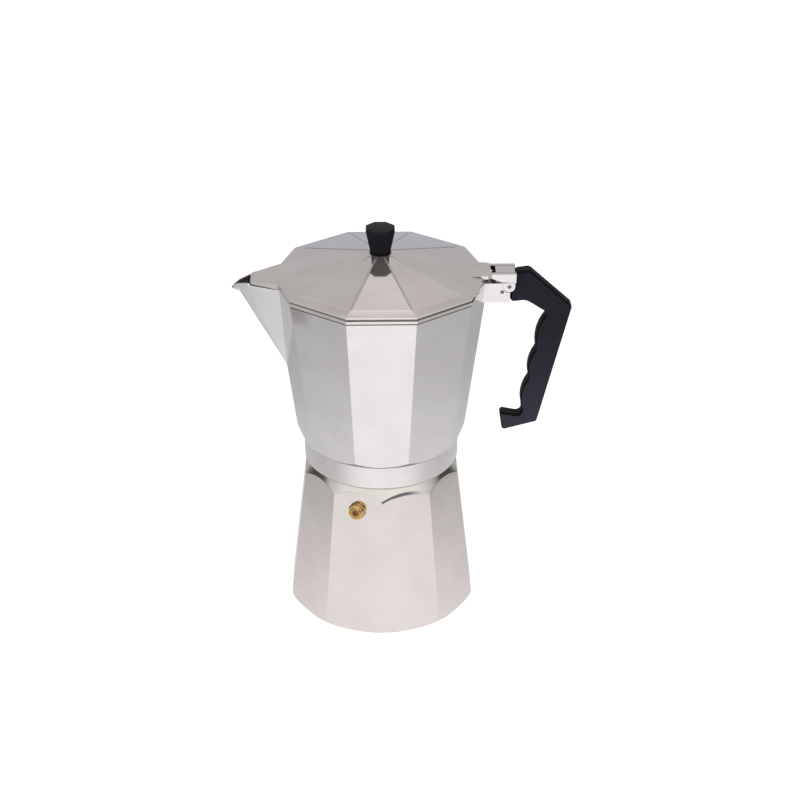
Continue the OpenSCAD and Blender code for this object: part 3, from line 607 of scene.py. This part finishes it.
# ---------------------------------------------------------------------------------------------------
# Mesh tools
# ---------------------------------------------------------------------------------------------------
def casting_mesh(node: str) -> bmesh.types.BMesh:
    """Copies a node's solid with its doubles merged and its flat faces joined.

    Args:
        node: Name of the node.

    Returns:
        The copy as a bmesh.
    """
    mesh = bmesh.new()
    mesh.from_mesh(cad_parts[node].data)
    bmesh.ops.remove_doubles(mesh, verts=mesh.verts, dist=WELD)
    bmesh.ops.dissolve_degenerate(mesh, edges=mesh.edges, dist=WELD)
    bmesh.ops.dissolve_limit(mesh, angle_limit=FLAT_ANGLE, verts=mesh.verts, edges=mesh.edges)
    return mesh


def new_piece(name: str, mesh: bmesh.types.BMesh | bpy.types.Mesh) -> bpy.types.Object:
    """Puts a mesh in the scene as an object at the origin.

    Args:
        name: Name of the piece.
        mesh: Its mesh; a bmesh is freed.

    Returns:
        The object.
    """
    if isinstance(mesh, bmesh.types.BMesh):
        data = bpy.data.meshes.new(name)
        mesh.to_mesh(data)
        mesh.free()
    else:
        data = mesh
        data.name = name
    piece = bpy.data.objects.new(name, data)
    bpy.context.scene.collection.objects.link(piece)
    return piece


def bake_modifiers(piece: bpy.types.Object) -> None:
    """Replaces a piece's mesh by its evaluated mesh and removes its modifiers.

    Args:
        piece: The piece with live modifiers.
    """
    bpy.context.view_layer.update()
    graph = bpy.context.evaluated_depsgraph_get()
    made = bpy.data.meshes.new_from_object(piece.evaluated_get(graph))
    old = piece.data
    piece.modifiers.clear()
    piece.data = made
    made.name = piece.name
    bpy.data.meshes.remove(old)


def turn_down(piece: bpy.types.Object, profile: Sequence[tuple[float, float]], steps: int = 96) -> None:
    """Takes a ring of metal off a piece, as on a lathe.

    Args:
        piece: The piece.
        profile: Radius and height of the corners of the ring's section, in metres.
        steps: Number of steps round the axis.
    """
    cutter = bmesh.new()
    rings = []
    for step in range(steps):
        angle = math.tau * step / steps
        rings.append([cutter.verts.new((r * math.cos(angle), r * math.sin(angle), z)) for r, z in profile])
    for step in range(steps):
        first, second = rings[step], rings[(step + 1) % steps]
        for k in range(len(profile)):
            n = (k + 1) % len(profile)
            cutter.faces.new((first[k], second[k], second[n], first[n]))
    bmesh.ops.recalc_face_normals(cutter, faces=cutter.faces)
    tool = new_piece(piece.name + "_cutter", cutter)
    cut = piece.modifiers.new("cut", "BOOLEAN")
    cut.operation = "DIFFERENCE"
    cut.solver = "EXACT"
    cut.object = tool
    bake_modifiers(piece)
    bpy.data.objects.remove(tool)
    mesh = bmesh.new()
    mesh.from_mesh(piece.data)
    bmesh.ops.remove_doubles(mesh, verts=mesh.verts, dist=WELD)
    bmesh.ops.dissolve_limit(mesh, angle_limit=FLAT_ANGLE, verts=mesh.verts, edges=mesh.edges)
    mesh.to_mesh(piece.data)
    mesh.free()


def soften_edges(piece: bpy.types.Object, width: float, limit: float = 24.0, segments: int = 2,
                 clamp: bool = True) -> None:
    """Rounds a piece's sharp edges and shades it smooth with flat panels.

    Args:
        piece: The piece.
        width: Width of the rounding in metres.
        limit: Smallest angle in degrees of an edge that is rounded.
        segments: Number of steps across the rounding.
        clamp: Whether the rounding shrinks everywhere to fit the tightest spot.
    """
    piece.data.shade_smooth()
    bevel = piece.modifiers.new("edges", "BEVEL")
    bevel.limit_method = "ANGLE"
    bevel.angle_limit = math.radians(limit)
    bevel.width = width
    bevel.segments = segments
    bevel.use_clamp_overlap = clamp
    bevel.miter_outer = "MITER_ARC"
    weigh = piece.modifiers.new("shading", "WEIGHTED_NORMAL")
    weigh.mode = "FACE_AREA_WITH_ANGLE"
    weigh.weight = 100
    weigh.keep_sharp = False
    bake_modifiers(piece)


def paint(piece: bpy.types.Object, materials: Sequence[bpy.types.Material],
          choose: Callable[[bpy.types.MeshPolygon], int] | None = None) -> None:
    """Gives a piece its materials, face by face.

    Args:
        piece: The piece.
        materials: Its materials.
        choose: Returns the number of a face's material; the first is used without it.
    """
    piece.data.materials.clear()
    for material in materials:
        piece.data.materials.append(material)
    for face in piece.data.polygons:
        face.material_index = choose(face) if choose else 0


def install(piece: bpy.types.Object, body: str, nodes: Iterable[str] = ()) -> bpy.types.Object:
    """Lets a piece ride on its body and stand for its nodes.

    Args:
        piece: The finished piece.
        body: The body that it rides on.
        nodes: Nodes that it stands for.

    Returns:
        The piece.
    """
    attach(piece, body)
    if nodes:
        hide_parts(*nodes)
    log.info("%s: %d faces on %s", piece.name, len(piece.data.polygons), body)
    return piece


def dress_node(node: str, material: bpy.types.Material) -> None:
    """Gives a CAD node that stays in view its material.

    Args:
        node: Name of the node.
        material: Its material.
    """
    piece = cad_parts[node]
    if not piece.material_slots:
        piece.data.materials.append(material)
    for holder in piece.material_slots:
        holder.link = "OBJECT"
        holder.material = material
    log.info("%s: dressed", node)


class GeometryGraph:
    """A Geometry Nodes tree built in code."""

    def __init__(self, name: str, sizes: Mapping[str, tuple[str, float | int]]) -> None:
        """Starts a tree with named inputs.

        Args:
            name: Name of the tree.
            sizes: Socket type and value of each named input.
        """
        self.tree = bpy.data.node_groups.new(name, "GeometryNodeTree")
        self.tree.interface.new_socket("Geometry", in_out="OUTPUT", socket_type="NodeSocketGeometry")
        self.sizes = dict(sizes)
        self.sockets = {
            key: self.tree.interface.new_socket(key, in_out="INPUT", socket_type=kind).identifier
            for key, (kind, _) in sizes.items()
        }
        self.entry = self.tree.nodes.new("NodeGroupInput")

    def node(self, kind: str, settings: Mapping[str, object],
             inputs: Mapping[str | int, object]) -> bpy.types.Node:
        """Adds a node, sets it up and fills its sockets.

        Args:
            kind: The node's type.
            settings: Attributes that are set before the sockets.
            inputs: Numbers or output sockets by the socket's name or number.

        Returns:
            The new node.
        """
        made = self.tree.nodes.new(kind)
        for name, setting in settings.items():
            setattr(made, name, setting)
        for name, value in inputs.items():
            if isinstance(value, bpy.types.NodeSocket):
                self.tree.links.new(value, made.inputs[name])
            else:
                made.inputs[name].default_value = value
        return made

    def size(self, name: str) -> bpy.types.NodeSocket:
        """The output of a named input."""
        return self.entry.outputs[name]

    def build(self, name: str, geometry: bpy.types.NodeSocket,
              material: bpy.types.Material) -> bpy.types.Object:
        """Ends the tree, runs it and returns a plain mesh object.

        Args:
            name: Name of the piece.
            geometry: The geometry to end with.
            material: Its material.

        Returns:
            The piece as an object at the origin.
        """
        real = self.node("GeometryNodeRealizeInstances", {}, {0: geometry})
        painted = self.node("GeometryNodeSetMaterial", {}, {0: real.outputs[0], "Material": material})
        exit_node = self.tree.nodes.new("NodeGroupOutput")
        self.tree.links.new(painted.outputs[0], exit_node.inputs[0])
        piece = new_piece(name, bpy.data.meshes.new(name))
        modifier = piece.modifiers.new("nodes", "NODES")
        modifier.node_group = self.tree
        for key, identifier in self.sockets.items():
            modifier[identifier] = self.sizes[key][1]
        bake_modifiers(piece)
        return piece


def thread_ridge(name: str, radius: float, foot: float, pitch: float, turns: float, ridge: float,
                 material: bpy.types.Material) -> bpy.types.Object:
    """A rounded right-hand thread as a separate closed ridge.

    Args:
        name: Name of the piece.
        radius: Radius of the ridge's middle line in metres.
        foot: Height where it starts.
        pitch: Rise of one turn.
        turns: Number of turns.
        ridge: Radius of the ridge's round section.
        material: Its material.

    Returns:
        The piece.
    """
    graph = GeometryGraph(name + "_nodes", {
        "Radius": ("NodeSocketFloat", radius),
        "Foot": ("NodeSocketFloat", foot),
        "Rise": ("NodeSocketFloat", pitch * turns),
        "Turns": ("NodeSocketFloat", turns),
        "Ridge": ("NodeSocketFloat", ridge),
    })
    spiral = graph.node("GeometryNodeCurveSpiral", {}, {
        "Resolution": 72, "Rotations": graph.size("Turns"), "Start Radius": graph.size("Radius"),
        "End Radius": graph.size("Radius"), "Height": graph.size("Rise"), "Reverse": False})
    section = graph.node("GeometryNodeCurvePrimitiveCircle", {}, {
        "Resolution": 8, "Radius": graph.size("Ridge")})
    swept = graph.node("GeometryNodeCurveToMesh", {}, {
        "Curve": spiral.outputs[0], "Profile Curve": section.outputs[0], "Fill Caps": True})
    lift = graph.node("ShaderNodeCombineXYZ", {}, {2: graph.size("Foot")})
    placed = graph.node("GeometryNodeTransform", {}, {
        "Geometry": swept.outputs[0], "Translation": lift.outputs[0]})
    smooth = graph.node("GeometryNodeSetShadeSmooth", {}, {0: placed.outputs[0]})
    return graph.build(name, smooth.outputs[0], material)


# ---------------------------------------------------------------------------------------------------
# Sub-assemblies
# ---------------------------------------------------------------------------------------------------
@dataclass
class Boiler:
    """The lower casting: flat sides that end in turned arches, and the threaded neck."""

    finishes: Finishes
    edge: float = 1.1 * MM
    thread_radius: float = 46.35 * MM
    thread_pitch: float = 3.0 * MM
    thread_turns: float = 2.6
    thread_ridge: float = 1.0 * MM
    thread_gap: float = 1.6 * MM

    def choose(self, face: bpy.types.MeshPolygon) -> int:
        """Picks the material of a face.

        Args:
            face: The face.

        Returns:
            0 for a flat side, 1 for a turned face in the darker shoulder finish that paints shade below
            the ring, and 2 for the inside.
        """
        normal, centre = face.normal, face.center
        out = Vector((centre.x, centre.y, 0.0)).normalized()
        if normal.dot(out) < -0.15 or (normal.z > 0.8 and centre.z < 20 * MM):
            return 2
        return 0 if 0.02 < normal.z < 0.25 and centre.z < 112 * MM else 1

    def build(self) -> None:
        """Makes the casting and its thread."""
        piece = new_piece("boiler_casting", casting_mesh("boiler"))
        soften_edges(piece, self.edge)
        paint(piece, [self.finishes.boiler, self.finishes.shoulder, self.finishes.inside], self.choose)
        install(piece, "boiler", ["boiler"])
        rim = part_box("boiler")[1][2]
        foot = rim - self.thread_pitch * self.thread_turns - self.thread_gap
        thread = thread_ridge("boiler_thread", self.thread_radius, foot, self.thread_pitch,
                              self.thread_turns, self.thread_ridge, self.finishes.turned)
        install(thread, "boiler")


@dataclass
class SafetyValve:
    """The brass valve in the boiler's side."""

    finishes: Finishes
    edge: float = 0.25 * MM
    seat: tuple[float, float, float] = (-16.73 * MM, -51.49 * MM, 94.1 * MM)
    lean: float = math.radians(6.73)
    slim: float = 0.87
    kept_radius: float = 4.0 * MM

    def slimmed(self, node: str, start: float) -> bmesh.types.BMesh:
        """A copy of a node whose part beyond start along the valve's axis is slimmer.

        Args:
            node: Name of the node.
            start: Distance from the boiler's side in metres.

        Returns:
            The copy as a bmesh.
        """
        mesh = casting_mesh(node)
        seat = Vector(self.seat)
        flat = Vector((seat.x, seat.y, 0.0)).normalized()
        axis = flat * math.cos(self.lean) + Vector((0.0, 0.0, math.sin(self.lean)))
        for vert in mesh.verts:
            way = vert.co - seat
            along = way.dot(axis)
            across = way - axis * along
            if along > start and across.length > self.kept_radius:
                vert.co = seat + axis * along + across * self.slim
        return mesh

    def build(self) -> None:
        """Makes the valve's body and washer and dresses its inner pieces."""
        piece = new_piece("valve_hexagon", self.slimmed("valve_body", 0.3 * MM))
        soften_edges(piece, self.edge, 35.0)
        paint(piece, [self.finishes.brass])
        install(piece, "boiler", ["valve_body"])
        washer = new_piece("valve_ring", self.slimmed("valve_washer", -1.0 * MM))
        soften_edges(washer, 0.15 * MM)
        paint(washer, [self.finishes.brass])
        install(washer, "boiler", ["valve_washer"])
        dress_node("valve_seat", self.finishes.brass)
        dress_node("valve_plunger", self.finishes.brass)
        dress_node("valve_spring", self.finishes.steel)


@dataclass
class Funnel:
    """The pressed basket with its stem and perforated floor."""

    finishes: Finishes

    def build(self) -> None:
        """Dresses the pressed pieces."""
        for node in ("funnel_basket", "funnel_stem", "funnel_plate"):
            dress_node(node, self.finishes.sheet)


@dataclass
class Seal:
    """The gasket and the filter plate that it holds."""

    finishes: Finishes

    def build(self) -> None:
        """Dresses both pieces."""
        dress_node("gasket", self.finishes.rubber)
        dress_node("filter_plate", self.finishes.sheet)


@dataclass
class Collector:
    """The upper casting: chamber, turned ring, spout, column and hinge lug."""

    finishes: Finishes
    edge: float = 0.5 * MM
    thread_radius: float = 48.65 * MM
    thread_pitch: float = 3.0 * MM
    thread_turns: float = 2.2
    thread_ridge: float = 1.0 * MM
    ring_radius: float = 53.66 * MM
    ring_top: float = 128.5 * MM
    ring_flare: float = 5.5 * MM
    ring_foot: float = 110.9 * MM
    thread_lift: float = 3.0 * MM
    rim: float = 243.9 * MM
    pivot: tuple[float, float] = (85.8 * MM, 241.4 * MM)
    nose_radius: float = 12.6 * MM
    nose_top: float = 248.1 * MM
    nose_end: float = 76.75 * MM
    nose_width: float = 10.4 * MM

    def choose(self, face: bpy.types.MeshPolygon) -> int:
        """Picks the material of a face.

        Args:
            face: The face.

        Returns:
            0 for a flat side, 1 turned, 2 inside, 3 for the spout's sides in a paler finish as painted
            light, and 4 for grey painted shade under the ring's flare and on the rim under the lid.
        """
        normal, centre = face.normal, face.center
        out = Vector((centre.x, centre.y, 0.0)).normalized()
        radius = math.hypot(centre.x, centre.y)
        # Grey painted shade under the ring's flare.
        if normal.z < -0.3 and radius > self.ring_radius and centre.z < self.ring_top + self.ring_flare:
            return 4
        if centre.z < self.ring_top + 0.2 * MM and radius > 47 * MM:
            return 1
        if normal.dot(out) < -0.15 or radius < 50 * MM:
            return 2
        # Grey painted shade on the rim, in the seam under the lid.
        if normal.z > 0.3 and abs(centre.z - self.rim) < 0.6 * MM and centre.x > -70 * MM:
            return 4
        return 3 if centre.x < -66 * MM and abs(centre.y) < 19 * MM else 0

    def web_nose(self) -> bmesh.types.BMesh:
        """Makes the nose of the hinge's web, round about the pin, so that the lid swings clear of it;
        painted dark, it stands as shade in the slot above.

        Returns:
            The nose as a bmesh.
        """
        low = math.asin((self.rim - 0.05 * MM - self.pivot[1]) / self.nose_radius)
        high = math.asin((self.nose_top - self.pivot[1]) / self.nose_radius)
        outline = [(self.nose_end, self.rim - 0.05 * MM)]
        for step in range(9):
            angle = low + (high - low) * step / 8
            outline.append((self.pivot[0] - self.nose_radius * math.cos(angle),
                            self.pivot[1] + self.nose_radius * math.sin(angle)))
        outline.append((self.nose_end, self.nose_top))
        mesh = bmesh.new()
        ring = [mesh.verts.new((x, -self.nose_width / 2, z)) for x, z in outline]
        side = mesh.faces.new(ring)
        grown = bmesh.ops.extrude_face_region(mesh, geom=[side])["geom"]
        moved = [item for item in grown if isinstance(item, bmesh.types.BMVert)]
        bmesh.ops.translate(mesh, vec=(0.0, self.nose_width, 0.0), verts=moved)
        bmesh.ops.recalc_face_normals(mesh, faces=mesh.faces)
        return mesh

    def build(self) -> None:
        """Makes the casting, its inner thread and the nose of the hinge's web."""
        piece = new_piece("collector_casting", casting_mesh("collector"))
        reach = self.ring_radius + self.ring_flare
        turn_down(piece, [
            (self.ring_radius, self.ring_foot), (self.ring_radius, self.ring_top),
            (reach, self.ring_top + self.ring_flare), (reach + 8 * MM, self.ring_top + self.ring_flare),
            (reach + 8 * MM, self.ring_foot)])
        soften_edges(piece, self.edge)
        finishes = self.finishes
        paint(piece, [finishes.chamber, finishes.turned, finishes.inside, finishes.spout, finishes.grey_painted_shade],
              self.choose)
        install(piece, "collector", ["collector"])
        nose = new_piece("web_nose", self.web_nose())
        soften_edges(nose, 0.1 * MM, 40.0)
        # The nose is painted near-black: painted shade in the slot above it.
        paint(nose, [finishes.dark_painted_shade])
        install(nose, "collector")
        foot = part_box("collector")[0][2] + self.thread_lift
        thread = thread_ridge("ring_thread", self.thread_radius, foot, self.thread_pitch,
                              self.thread_turns, self.thread_ridge, self.finishes.turned)
        install(thread, "collector")


@dataclass
class Hinge:
    """The hinge pin and the handle pin."""

    finishes: Finishes

    def build(self) -> None:
        """Dresses both pins."""
        for node in ("hinge_pin", "handle_pin"):
            dress_node(node, self.finishes.pin)


@dataclass
class Handle:
    """The moulded side handle."""

    finishes: Finishes
    edge: float = 1.5 * MM

    def choose(self, face: bpy.types.MeshPolygon) -> int:
        """0 for the broad sides and 1 for the rim round them, in a darker copy of the plastic as painted
        shade.
        """
        return 0 if abs(face.normal.y) > 0.85 else 1

    def build(self) -> None:
        """Makes the moulding."""
        piece = new_piece("handle_moulding", casting_mesh("handle"))
        soften_edges(piece, self.edge, 40.0, 3, False)
        paint(piece, [self.finishes.handle, self.finishes.handle_rim_painted_shade], self.choose)
        install(piece, "collector", ["handle"])


@dataclass
class Lid:
    """The faceted lid with its flap and hinge arms."""

    finishes: Finishes
    edge: float = 0.35 * MM
    foot: float = 244.8 * MM
    slot: tuple[float, float, float] = (73.2 * MM, 77.2 * MM, 5.75 * MM)
    # Corners of the dark bars under the arms, which are painted shadow lines.
    shadow_bar_corners: tuple[tuple[float, float, float], ...] = (
        (81.95 * MM, 7.8 * MM, 244.15 * MM), (89.55 * MM, 8.06 * MM, 244.65 * MM))

    def choose(self, face: bpy.types.MeshPolygon) -> int:
        """Picks the material of a face.

        Args:
            face: The face.

        Returns:
            0 for the outside, 1 for the inside, 2 for painted shade in the seam, the slot and on the arms'
            inner faces, and 3 for the hinge's ears.
        """
        normal, centre = face.normal, face.center
        radius = math.hypot(centre.x, centre.y)
        # Painted shade on the lid's lowest faces, in the seam above the rim.
        if centre.z < self.foot + 0.15 * MM and 64 * MM < radius < 74 * MM:
            return 2
        # Painted shade on the walls of the hinge's slot.
        if self.slot[0] < centre.x < self.slot[1] and abs(centre.y) < self.slot[2] and normal.z < 0.5:
            return 2
        # Painted shade on the arms' inner faces, seen through the slot.
        if centre.x > self.slot[0] and abs(centre.y) < 5.9 * MM and abs(normal.y) > 0.9:
            return 2
        if centre.x > 80 * MM and (centre.z < self.foot + 0.6 * MM or abs(normal.y) > 0.8):
            return 3
        return 1 if normal.z < -0.3 else 0

    def build(self) -> None:
        """Makes the casting and the dark bars under its arms, painted shadow lines below their edges."""
        piece = new_piece("lid_casting", casting_mesh("lid"))
        soften_edges(piece, self.edge)
        finishes = self.finishes
        paint(piece, [finishes.lid, finishes.inside, finishes.dark_painted_shade, finishes.chamber], self.choose)
        low, high = self.shadow_bar_corners
        shadow_boxes = bmesh.new()
        # Two thin dark boxes, one under each arm: painted shadow lines.
        for side in (-1.0, 1.0):
            made = bmesh.ops.create_cube(shadow_boxes, size=1.0)["verts"]
            span = Vector(high) - Vector(low)
            middle = (Vector(high) + Vector(low)) / 2
            bmesh.ops.scale(shadow_boxes, vec=span, verts=made)
            bmesh.ops.translate(shadow_boxes, vec=(middle.x, side * middle.y, middle.z), verts=made)
        line = new_piece("arm_shadow_bars", shadow_boxes)
        soften_edges(line, 0.03 * MM)
        paint(line, [finishes.dark_painted_shade])
        install(line, "lid")
        install(piece, "lid", ["lid"])


@dataclass
class Knob:
    """The knob with its insert, shield and screw."""

    finishes: Finishes
    edge: float = 0.35 * MM

    def build(self) -> None:
        """Makes the knob and dresses what holds it."""
        piece = new_piece("knob_moulding", casting_mesh("knob"))
        soften_edges(piece, self.edge, limit=16.0)
        paint(piece, [self.finishes.knob])
        install(piece, "lid", ["knob"])
        dress_node("knob_shield", self.finishes.knob)
        dress_node("knob_insert", self.finishes.brass)
        dress_node("knob_screw", self.finishes.steel)
        dress_node("screw_washer", self.finishes.steel)


# ---------------------------------------------------------------------------------------------------
# Studio
# ---------------------------------------------------------------------------------------------------
@dataclass
class Lamp:
    """One soft lamp."""

    name: str
    place: tuple[float, float, float]
    size: float
    power: float


@dataclass
class Studio:
    """Floor, surroundings, soft lamps and the camera."""

    azimuth: float = -1.169
    elevation: float = 29.1
    distance: float = 1.17795
    aim: tuple[float, float] = (13.217 * MM, 151.651 * MM)
    roll: float = 0.108
    lens: float = 76.31
    sensor: float = 36.0
    floor_radius: float = 3.0
    floor_drop: float = 0.4 * MM
    floor_glow: float = 1.2
    lamps: tuple[Lamp, ...] = (
        Lamp("key_softbox", (-0.5, -1.7, 0.9), 1.1, 26.0),
        Lamp("fill_softbox", (1.2, -1.3, 0.9), 1.2, 9.0),
        Lamp("top_softbox", (0.0, 0.3, 1.9), 1.6, 4.0),
    )

    def build_camera(self) -> None:
        """Places the camera."""
        a, e, r = (math.radians(v) for v in (self.azimuth, self.elevation, self.roll))
        back = Vector((math.sin(a) * math.cos(e), -math.cos(a) * math.cos(e), math.sin(e)))
        right = Vector((math.cos(a), math.sin(a), 0.0))
        up = back.cross(right)
        side = right * math.cos(r) + up * math.sin(r)
        top = up * math.cos(r) - right * math.sin(r)
        target = Vector((self.aim[0] * math.cos(a), self.aim[0] * math.sin(a), self.aim[1]))
        place = target + back * self.distance
        data = bpy.data.cameras.new("camera")
        data.lens = self.lens
        data.sensor_width = self.sensor
        data.clip_start = 0.05
        camera = bpy.data.objects.new("camera", data)
        camera.matrix_world = Matrix.Translation(place) @ Matrix((side, top, back)).transposed().to_4x4()
        bpy.context.scene.collection.objects.link(camera)
        bpy.context.scene.camera = camera

    def build_floor(self) -> None:
        """Makes the floor, so bright to the camera that no shadow shows, and in reflections a glowing
        painted pool of light, brightest in front of the pot.
        """
        mesh = bmesh.new()
        bmesh.ops.create_circle(mesh, cap_ends=True, segments=96, radius=self.floor_radius)
        bmesh.ops.translate(mesh, verts=mesh.verts, vec=(0.0, 0.0, -self.floor_drop))
        floor = new_piece("floor", mesh)
        material, graph = new_graph("floor_white")
        # The glow seen in reflections is a painted pool of light: brightest in front of the pot, fading
        # with distance elsewhere.
        x, y, _ = graph.axes(graph.place())
        radius = (x * x + y * y + 1e-6) ** 0.5
        ahead = (-y) / radius
        near = radius.smooth(0.05, 0.40, 0.80, 0.40)
        side = near * ahead.smooth(0.05, 0.3, 0.92, 1.0) * x.smooth(-0.3, 0.3, 0.98, 1.04)
        level = side + (0.99 - side) * ahead.smooth(0.33, 1.0)
        camera, glossy = graph.rays()
        paper = graph.node("ShaderNodeBsdfDiffuse", {}, {"Color": (0.86, 0.86, 0.86, 1.0)})
        glow = graph.node("ShaderNodeEmission", {}, {
            "Color": (1.0, 1.0, 1.0, 1.0), "Strength": camera * self.floor_glow + glossy * level})
        share = camera * 0.88 + glossy * 0.85
        mixed = graph.node("ShaderNodeMixShader", {}, {0: share, 1: paper.outputs[0], 2: glow.outputs[0]})
        graph.node("ShaderNodeOutputMaterial", {}, {0: mixed.outputs[0]})
        floor.data.materials.append(material)

    def build_world(self) -> None:
        """Sets the surroundings: white to the camera, soft grey steps in reflections."""
        world = bpy.data.worlds.new("studio")
        world.use_nodes = True
        bpy.context.scene.world = world
        graph = ShaderGraph(world.node_tree)
        way = graph.node("ShaderNodeTexCoord", {}, {}).outputs["Generated"]
        x, y, z = graph.axes(way)
        camera, glossy = graph.rays()
        aside = graph.math("ABSOLUTE", x)
        band = z.smooth(0.70, 0.76) * z.smooth(0.745, 0.80, 0.31, 0.06)
        window = band * aside.smooth(0.06, 0.18, 1.0, 0.0)
        corner = x.smooth(0.05, 0.15) * z.smooth(0.6, 0.72, 0.0, 0.06)
        ceiling = z.smooth(0.68, 0.98, 0.52, 0.85) + window + corner
        dark = x.smooth(-0.4, 0.0, -0.12, -0.44)
        front = (-y).smooth(-0.1, 0.4) * (dark + (0.42 - dark) * z.smooth(0.3, 0.62))
        wings = aside.smooth(0.72, 0.86) * z.smooth(0.0, 0.06) * z.smooth(0.38, 0.46, 1.0, 0.0)
        room = (ceiling + front) * (1.0 - wings * 0.85)
        level = camera + glossy * room.clamp() + (1.0 - camera - glossy).clamp() * 0.55
        cool = glossy * y.smooth(0.6, 0.95) * z.smooth(0.1, 0.35, 1.0, 0.0)
        colour = graph.blend(cool, (1.0, 1.0, 1.0), (0.95, 0.99, 1.10))
        glow = graph.node("ShaderNodeBackground", {}, {"Color": colour, "Strength": level})
        graph.node("ShaderNodeOutputWorld", {}, {0: glow.outputs[0]})

    def build_lamps(self) -> None:
        """Hangs the lamps, each facing the pot."""
        for lamp in self.lamps:
            data = bpy.data.lights.new(lamp.name, "AREA")
            data.shape = "DISK"
            data.size = lamp.size
            data.energy = lamp.power
            light = bpy.data.objects.new(lamp.name, data)
            place = Vector(lamp.place)
            aim = (Vector((0.0, 0.0, 0.15)) - place).to_track_quat("-Z", "Y").to_matrix().to_4x4()
            light.matrix_world = Matrix.Translation(place) @ aim
            light.visible_glossy = False
            bpy.context.scene.collection.objects.link(light)

    def build(self) -> None:
        """Builds the whole studio."""
        bpy.context.scene.view_settings.view_transform = "Standard"
        self.build_camera()
        self.build_floor()
        self.build_world()
        self.build_lamps()


def main() -> None:
    """Builds and dresses the pot."""
    logging.basicConfig(level=logging.INFO, format="%(name)s %(message)s")
    Studio().build()
    finishes = Finishes()
    for part in (Boiler, SafetyValve, Funnel, Seal, Collector, Hinge, Handle, Lid, Knob):
        part(finishes).build()
        log.info("%s done", part.__name__)


if __name__ == "__main__":
    main()
